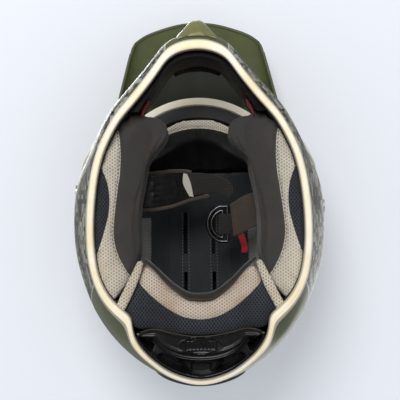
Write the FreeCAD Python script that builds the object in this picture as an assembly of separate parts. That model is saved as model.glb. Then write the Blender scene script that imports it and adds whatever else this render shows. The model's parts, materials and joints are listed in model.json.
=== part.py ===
"""Motocross helmet, built as an assembly of its real pieces.

Millimetres. +Z is up as worn, the face looks along -Y and the wearer's left is +X. The origin is on the
head's vertical axis, in the plane that the bottom rim rests on. The shell is described in polar form round
that axis: angle 0 is the chin, 90 is an ear and 180 is the nape.
"""

import FreeCAD, Part
import functools
import math
import os

V = FreeCAD.Vector

# ---------------------------------------------------------------- driving dimensions
SHELL_T = 3.5  # composite shell wall
TRIM_LIP = 2.2  # rim trim outside the shell
FIT_GAP = 0.4  # clearance between pieces that are built up in layers
EQUATOR_Z = 118.0  # height of the widest section
CROWN_Z = 268.0  # top of the shell
SHELL_FOOT_Z = 2.0  # lower edge of the shell, inside the trim's channel
TRIM_TOP_Z = 11.0
CHIN_TOP_Z = 87.0  # top of the chin bar's foam
CHIN_WALL_Y = -153.0  # the pocket behind the mouthpiece stops here
PAD_FOOT_Z, PAD_TOP_Z = 5.0, 102.0
PAD_FRONT_Y = -94.0
PORT_TOP_Z = 195.0  # the eye port's upper edge at the middle
BROW_FOOT_Z = 190.0
EPS_PLANE_Z, EPS_PLANE_SLOPE = 106.0, -0.30  # lower boundary of the crown foam
CAVITY = (84.0, 116.0, 106.0)  # half axes of the foam's head space
PAD_SPACE = (74.0, 104.0, 96.0)  # half axes of the space inside the comfort pads
CAVITY_Z = 128.0
TUCK = 0.6  # clearance inside the rim for what hangs within it
PAD_GAP = 1.6  # clearance from the rim for the cheek pads, which pull out past it
STUD_R, STUD_T = 5.0, 0.7  # the cheek pads' press studs

PIVOT = V(0, -20, 186)  # a point on the axis that the peak tilts about
PEAK_T = 2.6
PEAK_TILT_UP, PEAK_TILT_DOWN = 8.0, 5.0  # degrees
TOP_SCREW_Y = -22.0
SCREW_R, HOLE_R, HEAD_R, SPACER_R = 2.9, 3.2, 8.5, 6.5

STRAP_T, STRAP_WIDE = 2.0, 22.0
STRAP_HINGE_X, STRAP_HINGE_Z = 44.4, 105.0  # where a strap folds down over the cheek pad's edge
COVER_T, FOLD_R = 3.0, 1.6  # the strap covers' thickness, and the roll at the fold
STRAP_Y = {"right": -25.0, "left": -7.0}  # middle of each strap where it passes over its pad
RIVET_Z = 118.0
RIVET_R = 2.6
RING_WIRE_R, RING_Y = 1.8, 10.0
RING_BAR_X, RING_Z = 26.0, 112.5
LOOP_HALF = 9.8  # half the width of the webbing loop that holds the rings

# the peak's section along Y: height of its ridge, half its width, and height of its side edge
PEAK_RIDGE = [(-225, 229), (-170, 245), (-120, 257), (-80, 266), (-45, 271.6), (-32, 274.2), (-20, 275),
              (-8, 274.2), (0, 272.8)]
PEAK_HALF = [(-225, 62), (-186, 72.6), (-127, 87.6), (-90, 96), (-60, 103.5), (-20, 119.5), (0, 122)]
PEAK_SIDE = [(-225, 207), (-186, 213), (-127, 206), (-90, 198), (-60, 187), (-20, 168), (0, 160)]

CROWN_VENTS = [(30, 40)]  # where the exhausts' ports go through the shell
REAR_VENTS = [(24, 128)]

# (angle, radius) of the trim's outer edge at the rim, and of the shell at its widest section
RIM = [(0, 160), (9.3, 155), (18.2, 137.9), (28.8, 125.5), (38.7, 119.2), (48.6, 113.4), (57.3, 109.3),
       (67.6, 104.9), (81.8, 101.5), (96.7, 102.7), (109, 106.9), (120.4, 112.5), (128, 117),
       (137.4, 122.5), (144.4, 127), (151, 132), (161.4, 141.4), (169.5, 148.5), (180, 153)]
EQUATOR = [(0, 141.5), (12, 140.5), (25, 137), (38, 132.5), (50, 129), (62, 126.6), (75, 125.2), (90, 125),
           (105, 128), (120, 133.5), (130, 139.5), (140, 146), (150, 152.5), (160, 158.5), (170, 163),
           (180, 165)]
# how far the rim steps in at each side of the neck outlet, and the chin bar's bulge with height
JOG = [(0, 0), (118, 0), (128, 2.0), (136, 5.5), (141, 8.5), (144.5, 10.2), (148.5, 6.0), (152, 1.0),
       (156, 0), (180, 0)]
JOG_TOP_Z = 30.0
CHIN_BULGE = [(0, 0), (20, 9), (50, 13), (85, 9)]
CHIN_ANGLE, CHEEK_ANGLE = 30.0, 75.0  # the chin's form blends into the side's between these
ANGLES = [0, 5, 10, 15, 22, 30, 38, 47, 57, 67, 77, 88, 100, 112, 122, 130, 136, 141, 145, 148, 151, 155,
          161, 168, 174, 180]


# ---------------------------------------------------------------- helpers
def smooth(table, x):
    """A smooth curve through the table's points, level at both ends."""
    if x <= table[0][0]:
        return table[0][1]
    for i in range(len(table) - 1):
        (x0, y0), (x1, y1) = table[i], table[i + 1]
        if x <= x1:
            before = table[i - 1] if i else None
            after = table[i + 2] if i + 2 < len(table) else None
            m0 = (y1 - before[1]) / (x1 - before[0]) if before else 0.0
            m1 = (after[1] - y0) / (after[0] - x0) if after else 0.0
            h = x1 - x0
            t = (x - x0) / h
            return (y0 * (1 + 2 * t) * (1 - t) ** 2 + m0 * h * t * (1 - t) ** 2
                    + y1 * t * t * (3 - 2 * t) + m1 * h * t * t * (t - 1))
    return table[-1][1]


def radius(angle, z, inset=0.0):
    """Shell radius at an angle and height, moved inwards by inset."""
    a = abs((angle + 180.0) % 360.0 - 180.0)
    rim = smooth(RIM, a) - TRIM_LIP
    wide = smooth(EQUATOR, a)
    if z >= EQUATOR_Z:
        rise = (z - EQUATOR_Z) / (CROWN_Z - EQUATOR_Z - inset)
        return (wide - inset) * math.sqrt(max(0.0, 1 - rise * rise))
    side = rim + (wide - rim) * math.sin(math.pi / 2 * z / EQUATOR_Z)
    chin = rim + smooth(CHIN_BULGE + [(EQUATOR_Z, wide - rim)], z)
    t = min(1.0, max(0.0, (a - CHIN_ANGLE) / (CHEEK_ANGLE - CHIN_ANGLE)))
    share = 1 - t * t * (3 - 2 * t)
    step = smooth(JOG, a) * max(0.0, 1 - z / JOG_TOP_Z) ** 1.5
    return chin * share + side * (1 - share) - step - inset


def polar(angle, r, z):
    """A point at an angle, radius and height."""
    a = math.radians(angle)
    return V(r * math.sin(a), -r * math.cos(a), z)


def all_round(step=None):
    """Angles all the way round, without the last that repeats the first."""
    right = ANGLES if step is None else [i * step for i in range(int(180 / step) + 1)]
    return right + [360 - a for a in reversed(right[1:-1])]


def closed_wire(points):
    curve = Part.BSplineCurve()
    curve.interpolate(Points=points, PeriodicFlag=True)
    return Part.Wire(curve.toShape())


@functools.lru_cache(maxsize=None)
def section(z, inset):
    return closed_wire([polar(a, radius(a, z, inset), z) for a in all_round()])


@functools.lru_cache(maxsize=None)
def hull(inset, z_low, z_high=None):
    """A solid that fills the shell's form moved inwards by inset, from z_low to z_high or the crown."""
    fixed = [8, 16, 25, 36, 50, 66, 84, 101, EQUATOR_Z]
    dome = CROWN_Z - EQUATOR_Z - inset
    rising = [EQUATOR_Z + dome * math.sin(math.radians(s)) for s in (13, 26, 39, 51, 62, 72, 80, 86)]
    top = z_high if z_high is not None else EQUATOR_Z + dome * math.sin(math.radians(88.6))
    heights = [z_low] + [z for z in fixed + rising if z_low + 3 < z < top - 2.5 * (z_high is not None)]
    heights = [z for z in heights if z < top] + [top]
    return Part.makeLoft([section(z, inset) for z in heights], True, False)


def rim_lip(angle):
    """How far the trim's inner edge lies inside the shell: wider under the chin."""
    a = abs((angle + 180.0) % 360.0 - 180.0)
    return 1.5 + 2.8 * math.exp(-((a / 32.0) ** 2))


def rim_inner(angle, gap=0.0):
    """Radius of the trim's inner edge, less a gap."""
    return radius(angle, 0) - SHELL_T - rim_lip(angle) - gap


def prism(points, height, smooth_outline=True):
    """An upright prism on a closed outline of points."""
    wire = closed_wire(points) if smooth_outline else Part.makePolygon(points + points[:1])
    return Part.Face(wire).extrude(V(0, 0, height))


def rim_outward(angle, gap):
    """The direction square to the trim's inner edge, away from the axis."""
    along = polar(angle + 1, rim_inner(angle + 1, gap), 0) - polar(angle - 1, rim_inner(angle - 1, gap), 0)
    return V(along.y, -along.x, 0).normalize()


def rim_prism(gap, z_low, z_high):
    return prism([polar(a, rim_inner(a, gap), z_low) for a in all_round()], z_high - z_low)


def box(x0, x1, y0, y1, z0, z1):
    return Part.makeBox(x1 - x0, y1 - y0, z1 - z0, V(x0, y0, z0))


def curve_edge(points):
    curve = Part.BSplineCurve()
    curve.interpolate(points)
    return curve.toShape()


def ellipsoid(half_axes, grow=0.0):
    """An ellipsoid centred on the head space."""
    a, b, c = (h + grow for h in half_axes)
    ball = Part.makeSphere(1.0)
    m = FreeCAD.Matrix()
    m.scale(a, b, c)
    shape = ball.transformGeometry(m)
    shape.translate(V(0, 0, CAVITY_Z))
    return shape


def above_plane(z_at_axis, slope, keep_above=True):
    """A large wedge of space above, or below, the plane z = z_at_axis + slope * y."""
    far, reach = 400.0, 600.0 if keep_above else -600.0
    low, high = z_at_axis - slope * far, z_at_axis + slope * far
    outline = [V(-far, -far, low), V(-far, far, high), V(-far, far, high + reach), V(-far, -far, low + reach)]
    return Part.Face(Part.makePolygon(outline + outline[:1])).extrude(V(2 * far, 0, 0))


def mirrored(shape):
    return shape.mirror(V(0, 0, 0), V(1, 0, 0))


def one_solid(shape):
    """The largest solid of a boolean's result."""
    return max(shape.Solids, key=lambda s: s.Volume)


def cylinder_x(x0, x1, y, z, r):
    low, high = min(x0, x1), max(x0, x1)
    return Part.makeCylinder(r, high - low, V(low, y, z), V(1, 0, 0))


def cylinder_z(x, y, z0, z1, r):
    return Part.makeCylinder(r, z1 - z0, V(x, y, z0))


def strip(side_view, thickness, plan):
    """A strap: a band whose side view is a curve of (x, z) points, cut to an outline in plan."""
    top = curve_edge([V(x, -200, z + thickness / 2) for x, z in side_view])
    foot = curve_edge([V(x, -200, z - thickness / 2) for x, z in reversed(side_view)])
    ends = [Part.makeLine(top.Vertexes[-1].Point, foot.Vertexes[0].Point),
            Part.makeLine(foot.Vertexes[-1].Point, top.Vertexes[0].Point)]
    band = Part.Face(Part.Wire([top, ends[0], foot, ends[1]])).extrude(V(0, 400, 0))
    return one_solid(band.common(prism([V(x, y, 0) for x, y in plan], 300, False)))


PARTS = {}


def keep(name, shape):
    """Stores a node's solids; several solids are kept as one compound."""
    solids = shape.Solids
    PARTS[name] = solids[0] if len(solids) == 1 else Part.makeCompound(solids)


def keep_pair(name, left_shape):
    """Stores a node for the wearer's left and its mirror image for the right."""
    keep(name + "_left", left_shape)
    keep(name + "_right", mirrored(left_shape))


# ---------------------------------------------------------------- shell and its edgings
def port_prism(grow=0.0):
    """The eye port as a prism across the helmet; grow widens it all round."""
    rear = [V(-300, -175, 90 - grow), V(-300, -120, 92 - grow), V(-300, -78 + grow * 0.3, 98 - grow),
            V(-300, -56 + grow * 0.8, 114 - grow * 0.5), V(-300, -49 + grow, 140),
            V(-300, -55 + grow * 0.8, 165 + grow * 0.5), V(-300, -76 + grow * 0.3, 183 + grow),
            V(-300, -105, 190 + grow), V(-300, -140, PORT_TOP_Z + grow)]
    front_low, front_high = V(-300, -260, 88 - grow), V(-300, -260, PORT_TOP_Z + grow)
    edges = [Part.makeLine(front_low, rear[0]), curve_edge(rear), Part.makeLine(rear[-1], front_high),
             Part.makeLine(front_high, front_low)]
    return Part.Face(Part.Wire(edges)).extrude(V(600, 0, 0))


def mouth_duct(gap=0.0):
    outline = [V(-19 - gap, -190, 30 - gap), V(19 + gap, -190, 30 - gap), V(15 + gap, -120, 30 - gap),
               V(-15 - gap, -120, 30 - gap)]
    return prism(outline, 34 + 2 * gap, False)


def outer_shell():
    shell = hull(0, SHELL_FOOT_Z).cut(hull(SHELL_T, SHELL_FOOT_Z - 1)).cut(port_prism()).cut(mouth_duct())
    for side in (-1, 1):
        shell = shell.cut(cylinder_x(side * 90, side * 140, PIVOT.y, PIVOT.z, HOLE_R))
        shell = shell.cut(cylinder_x(side * 100, side * 140, side_strap_y(side), RIVET_Z, RIVET_R + 0.1))
        for x, y in CROWN_VENTS:
            shell = shell.cut(cylinder_z(side * x, y, 225, 285, 6))
        for x, z in REAR_VENTS:
            shell = shell.cut(Part.makeCylinder(6, 60, V(side * x, 120, z), V(0, 1, 0)))
    shell = shell.cut(cylinder_z(0, TOP_SCREW_Y, 230, 290, HOLE_R))
    keep("outer_shell", one_solid(shell))


def rim_trim():
    """The rubber edging: a band with a channel that the shell's edge sits in."""
    def band(offsets, edge):
        wires = [closed_wire([polar(a, edge(a, z) + d, z) for a in all_round()]) for z, d in offsets]
        return Part.makeLoft(wires, True, True)

    outside = band([(0, 1.0), (1.2, TRIM_LIP), (9.5, TRIM_LIP), (TRIM_TOP_Z, 1.0)], radius)
    inside = band([(0, 1.0), (1.2, 0.0), (9.5, 0.0), (TRIM_TOP_Z, 1.0)], lambda a, z: rim_inner(a))
    channel = hull(-0.15, SHELL_FOOT_Z - 0.1).cut(hull(SHELL_T + 0.15, SHELL_FOOT_Z - 1))
    channel = channel.common(box(-200, 200, -250, 250, 0, 20))
    keep("rim_trim", one_solid(outside.cut(inside).cut(channel)))


def eye_port_edgings():
    band = hull(-1.6, 60).cut(hull(SHELL_T + 1.6, 59))
    frame = port_prism(7.0).cut(port_prism(-1.8))
    wall = hull(-0.1, 60).cut(hull(SHELL_T + 0.1, 59)).cut(port_prism(-0.1))
    keep("eye_port_trim", one_solid(band.common(frame).cut(wall)))
    band = hull(SHELL_T + 2.0, 60).cut(hull(17, 59))
    frame = port_prism(8.6).cut(port_prism(0.4)).common(above_plane(CHIN_TOP_Z + 16, 0))
    keep("eye_port_gasket", one_solid(band.common(frame)))


# ---------------------------------------------------------------- impact foam
def crown_foam():
    foam = hull(SHELL_T + FIT_GAP, 40).common(above_plane(EPS_PLANE_Z, EPS_PLANE_SLOPE))
    foam = foam.cut(ellipsoid(CAVITY)).cut(port_prism(9.0))
    for side in (-1, 1):
        y = side_strap_y(side)
        foam = foam.cut(box(*sorted((side * 66, side * 130)), y - 16, y + 16, 90, 134))
        foam = foam.cut(cylinder_x(side * 90, side * 140, PIVOT.y, PIVOT.z, 9))
        foam = foam.cut(box(side * 14 - 5, side * 14 + 5, -60, 110, CAVITY_Z, 244))
    foam = foam.cut(cylinder_z(0, TOP_SCREW_Y, 247, 290, 9))
    keep("crown_foam", one_solid(foam))


def chin_foam():
    ring = hull(SHELL_T + FIT_GAP, TRIM_TOP_Z + 0.5, CHIN_TOP_Z).cut(rim_prism(TUCK - 0.1, 0, 120))
    pocket = mouth_duct(2.0).common(box(-30, 30, -200, CHIN_WALL_Y, 0, 100))
    ring = ring.common(box(-150, 150, -200, PAD_FRONT_Y - 1, 0, 200)).cut(pocket)
    edging = hull(0, 40, 120).cut(hull(SHELL_T + 2.0, 39, 121)).common(port_prism(7.4))
    keep("chin_foam", one_solid(ring.cut(edging)))


def side_foam():
    ring = hull(SHELL_T + FIT_GAP, TRIM_TOP_Z + 0.5, PAD_TOP_Z).cut(rim_prism(TUCK - 0.1, 0, 120))
    ring = ring.common(above_plane(EPS_PLANE_Z - 4.5, EPS_PLANE_SLOPE, False))
    left = ring.common(box(0, 150, PAD_FRONT_Y, 82.4, 0, 200)).cut(port_prism(9.0))
    keep_pair("side_foam", one_solid(left))


# ---------------------------------------------------------------- comfort pads
def cheek_pad_outline(z):
    """The left cheek pad in plan: along the rim outside, round the cheek inside."""
    rim = [polar(a, rim_inner(a, PAD_GAP), z) for a in (38, 46, 57, 67, 77, 88, 100, 112, 122, 130, 136)]
    inner = [V(66, 62, z), V(58, 46, z), V(57, 14, z), V(55, -14, z), V(51, -34, z), V(46, -52, z),
             V(35, -65, z), V(27, -79, z), V(31, -88, z), V(39, PAD_FRONT_Y + 1, z), V(50, PAD_FRONT_Y + 0.5, z)]
    return [curve_edge(rim), Part.makeLine(rim[-1], inner[0]), curve_edge(inner),
            Part.makeLine(inner[-1], rim[0])]


def cheek_pads():
    pad = Part.Face(Part.Wire(cheek_pad_outline(PAD_FOOT_Z))).extrude(V(0, 0, PAD_TOP_Z - PAD_FOOT_Z))
    pad = pad.common(above_plane(EPS_PLANE_Z - 4.5, EPS_PLANE_SLOPE, False))
    bevel = [V(98, -200, 2), V(40, -200, 34), V(0, -200, 34), V(0, -200, -40), V(98, -200, -40)]
    pad = pad.cut(Part.Face(Part.makePolygon(bevel + bevel[:1])).extrude(V(0, 400, 0)))
    face = [polar(a, rim_inner(a, PAD_GAP), 30) for a in (60, 72, 84, 96, 108)]
    back = [polar(a, rim_inner(a, PAD_GAP + 2.2), 30) for a in (108, 96, 84, 72, 60)]
    outline = [curve_edge(face), Part.makeLine(face[-1], back[0]), curve_edge(back),
               Part.makeLine(back[-1], face[0])]
    plate = Part.Face(Part.Wire(outline)).extrude(V(0, 0, 58))
    pad = pad.cut(plate)
    studs = []
    for angle, z in ((68, 46), (84, 78), (100, 46)):
        at = polar(angle, rim_inner(angle, PAD_GAP + 0.3), z)
        studs.append(Part.makeCylinder(STUD_R, STUD_T, at, rim_outward(angle, PAD_GAP)))
        plate = plate.cut(studs[-1])
        pad = pad.cut(studs[-1])
    keep_pair("cheek_pad", one_solid(pad))
    keep_pair("cheek_plate", one_solid(plate))
    keep_pair("cheek_snaps", Part.makeCompound(studs))
    ribbon = [V(49, PAD_FRONT_Y - 0.2, 24), V(42, -106, 24), V(43, -106.6, 24), V(50.2, PAD_FRONT_Y - 0.2, 24)]
    keep_pair("release_ribbon", prism(ribbon, 14, False))


def head_pads():
    lining = ellipsoid(CAVITY, -FIT_GAP).cut(ellipsoid(PAD_SPACE))
    lining = lining.common(above_plane(EPS_PLANE_Z + 10, EPS_PLANE_SLOPE)).cut(port_prism(8.3))
    split_y = -46.0
    brow = lining.common(box(-200, 200, -200, split_y - FIT_GAP, 0, 300))
    edge = hull(17.4, 150, 200).cut(ellipsoid(PAD_SPACE)).common(port_prism(8.6))
    brow = brow.fuse(edge.common(box(-78, 78, -200, -60, BROW_FOOT_Z, PORT_TOP_Z + 11)))
    keep("brow_pad", one_solid(brow.removeSplitter()))
    crown = lining.common(box(-200, 200, split_y, 200, 0, 300))
    for x in (-14, 14):
        for y0, y1 in ((-1, 46), (64, 85)):
            slot = box(x - 2, x + 2, y0 + 2, y1 - 2, 150, 260)
            slot = slot.fuse([cylinder_z(x, y0 + 2, 150, 260, 2), cylinder_z(x, y1 - 2, 150, 260, 2)])
            crown = crown.cut(slot.removeSplitter())
    keep("crown_pad", one_solid(crown))


def neck_roll():
    z0, z1 = 13.0, 72.4
    half_inner = [V(0, 77.5, z0), V(11, 76, z0), V(21.5, 70.2, z0), V(32, 61, z0), V(42, 50.5, z0),
                  V(50.5, 43, z0)]
    half_outer = [V(71, 86, z0), V(66, 93.5, z0), V(60, 103, z0), V(47, 104, z0), V(35.5, 106.8, z0),
                  V(13, 109.8, z0), V(0, 110.5, z0)]
    inner = [V(-p.x, p.y, z0) for p in reversed(half_inner)] + half_inner[1:]
    outer = half_outer + [V(-p.x, p.y, z0) for p in reversed(half_outer[:-1])]
    edges = [curve_edge(inner), Part.makeLine(inner[-1], outer[0]), curve_edge(outer),
             Part.makeLine(outer[-1], inner[0])]
    roll = Part.Face(Part.Wire(edges)).extrude(V(0, 0, z1 - z0))
    pads = Part.Face(Part.Wire(cheek_pad_outline(0))).extrude(V(0, 0, 120))
    for pad in (pads, mirrored(pads)):
        roll = roll.cut(pad).cut(pad.translated(V(0, 0.6, 0)))
    keep("neck_roll", one_solid(roll))


# ---------------------------------------------------------------- neck outlet and vents
def neck_outlet():
    z0, z1 = 12.0, 46.0
    rear = [polar(a, rim_inner(a, TUCK), z0) for a in (150, 156, 163, 170, 176, 180, 184, 190, 197, 204, 210)]
    half_front = [V(0, 112, z0), V(13, 111.6, z0), V(35.5, 108.6, z0), V(47, 105.6, z0), V(57, 106, z0)]
    front = [V(-p.x, p.y, z0) for p in reversed(half_front)] + half_front[1:]
    edges = [curve_edge(rear), Part.makeLine(rear[-1], front[0]), curve_edge(front),
             Part.makeLine(front[-1], rear[0])]
    tray = Part.Face(Part.Wire(edges)).extrude(V(0, 0, z1 - z0))
    tray = tray.cut(prism([V(-11, 129, 0), V(11, 129, 0), V(14, 143, 0), V(-14, 143, 0)], 40, False))
    for side in (-1, 1):
        duct = [V(side * 16, 131, 0), V(side * 38, 124, 0), V(side * 40, 132, 0), V(side * 19, 142, 0)]
        slot = [V(side * 44, 112, 0), V(side * 52, 110, 0), V(side * 53, 119, 0), V(side * 46, 124, 0)]
        tray = tray.cut(prism(duct, 40, False)).cut(prism(slot, 36, False))
    keep("neck_outlet", one_solid(tray))
    half = [V(0, 114.6, 10.4), V(15, 117, 10.4), V(19, 120.5, 10.4), V(14, 124, 10.4), V(0, 125.6, 10.4)]
    plaque = prism(half + [V(-p.x, p.y, p.z) for p in reversed(half[1:-1])], 1.5)
    keep("outlet_plaque", plaque)


def cover(outline, direction, rise):
    """A moulded cover that follows the shell: rise high, on an outline seen along direction."""
    face = Part.Face(closed_wire(outline))
    band = hull(-rise, 40).cut(hull(-FIT_GAP, 39))
    return one_solid(band.common(face.extrude(direction)))


def vents():
    forehead = [V(22, -92, 190), V(40, -92, 190), V(52, -70, 190), V(46, -50, 190), V(30, -52, 190),
                V(22, -68, 190)]
    exhaust = [V(14, 20, 190), V(34, 18, 190), V(47, 34, 190), V(45, 62, 190), V(32, 84, 190), V(20, 70, 190)]
    back = [V(-44, 100, 150), V(-20, 100, 158), V(20, 100, 158), V(44, 100, 150), V(40, 100, 116),
            V(16, 100, 104), V(-16, 100, 104), V(-40, 100, 116)]
    keep_pair("forehead_vent", cover(forehead, V(0, 0, 120), 5.0))
    keep_pair("crown_exhaust", cover(exhaust, V(0, 0, 120), 6.5))
    keep("rear_exhaust", cover(back, V(0, 120, 0), 7.0))


def mouthpiece():
    """The nose of the chin bar: a prow with three intake slots, and the grille behind it."""
    prow = []
    for z, proud in ((13, 3.5), (28, 9.0), (46, 13.0), (64, 12.0), (80, 5.5)):
        front = radius(0, z)
        half = [V(0, -front - proud, z), V(5.5, -front - proud + 0.9, z), V(9, -front - proud + 4, z),
                V(14.5, -front - proud * 0.25 + 1, z), V(20, -front + 5, z), V(22.5, -front + 12, z),
                V(20, -front + 30, z)]
        prow.append(closed_wire(half + [V(-p.x, p.y, z) for p in reversed(half[1:])]))
    nose = Part.makeLoft(prow, True, False).cut(hull(-FIT_GAP, 8, 91))
    for z in (33, 43, 53):
        nose = nose.cut(box(-13, 13, -220, -150, z, z + 5.5))
    keep("mouthpiece", one_solid(nose))
    grille = box(-16, 16, -157, -154.5, 33, 61)
    for i in range(7):
        for j in range(5):
            x, z = -13.2 + 4.4 * i, 36.5 + 5.2 * j
            grille = grille.cut(box(x - 1.5, x + 1.5, -158, -154, z - 1.9, z + 1.9))
    keep("mouth_grille", one_solid(grille))


# ---------------------------------------------------------------- peak and its screws
def peak_section(y, spine=2.6):
    """Closed wire across the peak: an arch with a raised spine, and its inner face PEAK_T within."""
    half, top, side = (smooth(t, y) for t in (PEAK_HALF, PEAK_RIDGE, PEAK_SIDE))

    def arch(inset):
        points = []
        for i in range(-9, 10):
            a = math.radians(10 * i)
            x = (half - inset) * math.sin(a)
            rise = (top - inset - spine - side) * math.cos(a)
            points.append(V(x, y, side + rise + spine * math.exp(-((x / 13.0) ** 2))))
        return points

    outside, inside = arch(0.0), arch(PEAK_T)[::-1]
    return Part.Wire([curve_edge(outside), Part.makeLine(outside[-1], inside[0]), curve_edge(inside),
                      Part.makeLine(inside[-1], outside[0])])


def peak():
    form = Part.makeLoft([peak_section(y) for y in (-224, -200, -178, -150, -122, -96, -72, -52, -36, -22,
                                                    -10, 0)], True, False)
    lower = [V(-200, -100, 197), V(-200, -60, 189), V(-200, -38, 181), V(-200, -20, 172.5), V(-200, -7, 183),
             V(-200, -9, 200), V(-200, -22, 222), V(-200, -40, 244), V(-200, -52, 262)]
    corners = [lower[-1], V(-200, -52, 300), V(-200, -260, 300), V(-200, -260, 150), V(-200, -100, 150), lower[0]]
    outline = Part.Wire([curve_edge(lower)] + Part.makePolygon(corners).Edges)
    blade = form.common(Part.Face(outline).extrude(V(400, 0, 0)))
    front = [V(0, -213.5, 100), V(20, -211.5, 100), V(41.5, -205.5, 100), V(60.5, -197, 100),
             V(68.5, -190, 100), V(74, -178, 100)]
    tail = [V(140, -178, 100), V(140, 20, 100), V(-140, 20, 100), V(-140, -178, 100)]
    rim = [V(-p.x, p.y, 100) for p in reversed(front)] + front[1:]
    plan = Part.Wire([curve_edge(rim)] + Part.makePolygon([rim[-1]] + tail + [rim[0]]).Edges)
    blade = blade.common(Part.Face(plan).extrude(V(0, 0, 250)))
    half = [V(34, -58, 200), V(22, -50, 200), V(15.5, -38, 200), V(14, -16, 200), V(9, -8, 200)]
    rear = half + [V(-p.x, p.y, 200) for p in reversed(half)]
    blade = blade.fuse(form.common(prism(rear, 120, False)))
    reach = smooth(PEAK_RIDGE, TOP_SCREW_Y) - PIVOT.z
    ahead = reach * math.sin(math.radians(PEAK_TILT_UP)) + HOLE_R
    behind = reach * math.sin(math.radians(PEAK_TILT_DOWN)) + HOLE_R
    blade = blade.cut(box(-HOLE_R, HOLE_R, TOP_SCREW_Y - ahead, TOP_SCREW_Y + behind, 200, 300))
    for side in (-1, 1):
        blade = blade.cut(cylinder_x(side * 90, side * 140, PIVOT.y, PIVOT.z, HOLE_R))
    keep("peak", one_solid(blade))


def peak_fixings():
    """Spacers outside the shell, nuts inside it, and the three screws with slotted heads."""
    face = smooth(PEAK_HALF, PIVOT.y)
    side = smooth(PEAK_SIDE, PIVOT.y)
    share = (PIVOT.z + SPACER_R - side) / (smooth(PEAK_RIDGE, PIVOT.y) - side)
    within = (face - PEAK_T) * math.sqrt(1 - share * share) - 0.8
    spacer = cylinder_x(95, within, PIVOT.y, PIVOT.z, SPACER_R)
    spacer = spacer.cut(hull(-0.2, 150)).cut(cylinder_x(90, 140, PIVOT.y, PIVOT.z, HOLE_R))
    keep_pair("peak_spacer", one_solid(spacer))
    nut = cylinder_x(94, 112, PIVOT.y, PIVOT.z, 7.5).common(hull(SHELL_T + 0.2, 150))
    nut = nut.cut(cylinder_x(90, 140, PIVOT.y, PIVOT.z, SCREW_R + 0.06))
    keep_pair("peak_nut", one_solid(nut))
    head = cylinder_x(face + 0.5, face + 4.3, PIVOT.y, PIVOT.z, HEAD_R)
    shank = cylinder_x(96, face + 0.6, PIVOT.y, PIVOT.z, SCREW_R)
    slot = box(face + 2.9, face + 5, PIVOT.y - HEAD_R, PIVOT.y + HEAD_R, PIVOT.z - 1, PIVOT.z + 1)
    keep_pair("peak_screw", one_solid(head.fuse(shank).cut(slot).removeSplitter()))

    top = smooth(PEAK_RIDGE, TOP_SCREW_Y)
    spacer = cylinder_z(0, TOP_SCREW_Y, 250, top - PEAK_T - 0.8, SPACER_R)
    spacer = spacer.cut(hull(-0.2, 150)).cut(cylinder_z(0, TOP_SCREW_Y, 240, 290, HOLE_R))
    keep("top_spacer", one_solid(spacer))
    nut = cylinder_z(0, TOP_SCREW_Y, 252, 270, 7.5).common(hull(SHELL_T + 0.2, 150))
    keep("top_nut", one_solid(nut.cut(cylinder_z(0, TOP_SCREW_Y, 240, 290, SCREW_R + 0.06))))
    head = cylinder_z(0, TOP_SCREW_Y, top + 0.5, top + 3.7, HEAD_R - 1)
    shank = cylinder_z(0, TOP_SCREW_Y, 253, top + 0.6, SCREW_R)
    slot = box(-HEAD_R, HEAD_R, TOP_SCREW_Y - 1, TOP_SCREW_Y + 1, top + 2.5, top + 5)
    keep("top_screw", one_solid(head.fuse(shank).cut(slot).removeSplitter()))


# ---------------------------------------------------------------- chin strap
def side_strap_y(side):
    return STRAP_Y["left" if side > 0 else "right"]


def strap_roots():
    """Each strap's fixed end: from its rivet on the shell, down, and in over the cheek pad."""
    for side, word in ((1, "left"), (-1, "right")):
        y = STRAP_Y[word]
        wall = math.sqrt(radius(90, RIVET_Z) ** 2 - y * y) - SHELL_T
        x = wall - 4.0
        end = STRAP_HINGE_X + FOLD_R + 0.3
        outline = [V(end, y, STRAP_HINGE_Z - 1), V(x, y, STRAP_HINGE_Z - 1), V(x, y, RIVET_Z + 9),
                   V(x - STRAP_T, y, RIVET_Z + 9), V(x - STRAP_T, y, STRAP_HINGE_Z + 1), V(end, y, STRAP_HINGE_Z + 1)]
        band = Part.Face(Part.makePolygon(outline + outline[:1])).extrude(V(0, STRAP_WIDE, 0))
        band = band.translated(V(0, -STRAP_WIDE / 2, 0))
        band = band.cut(cylinder_x(x - 10, x + 10, y, RIVET_Z, RIVET_R + 0.1))
        outside = cylinder_x(wall, wall + SHELL_T + 2.0, y, RIVET_Z, 6.5).cut(hull(-0.15, 60))
        rivet = cylinder_x(x - STRAP_T - 2.6, wall + SHELL_T + 1.6, y, RIVET_Z, RIVET_R)
        rivet = rivet.fuse([outside, cylinder_x(x - STRAP_T - 4.2, x - STRAP_T - 2.5, y, RIVET_Z, 5.0)])
        washer = cylinder_x(x - STRAP_T - 2.3, x - STRAP_T - 0.3, y, RIVET_Z, 8)
        washer = washer.cut(cylinder_x(x - 20, x + 20, y, RIVET_Z, RIVET_R + 0.1))
        pieces = {"strap_root_": band, "strap_rivet_": rivet.removeSplitter(), "strap_washer_": washer}
        for name, shape in pieces.items():
            keep(name + word, one_solid(shape if side > 0 else mirrored(shape)))


def hinged_cover(side, panel, plan):
    """A strap's cover: its band, rounded at the fold so that it can swing there."""
    end = [y for x, y in plan if abs(x) == STRAP_HINGE_X]
    at = V(side * STRAP_HINGE_X, min(end), STRAP_HINGE_Z)
    roll = Part.makeCylinder(FOLD_R, max(end) - min(end), at, V(0, 1, 0))
    return one_solid(strip(panel, COVER_T, plan).fuse(roll))


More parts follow.
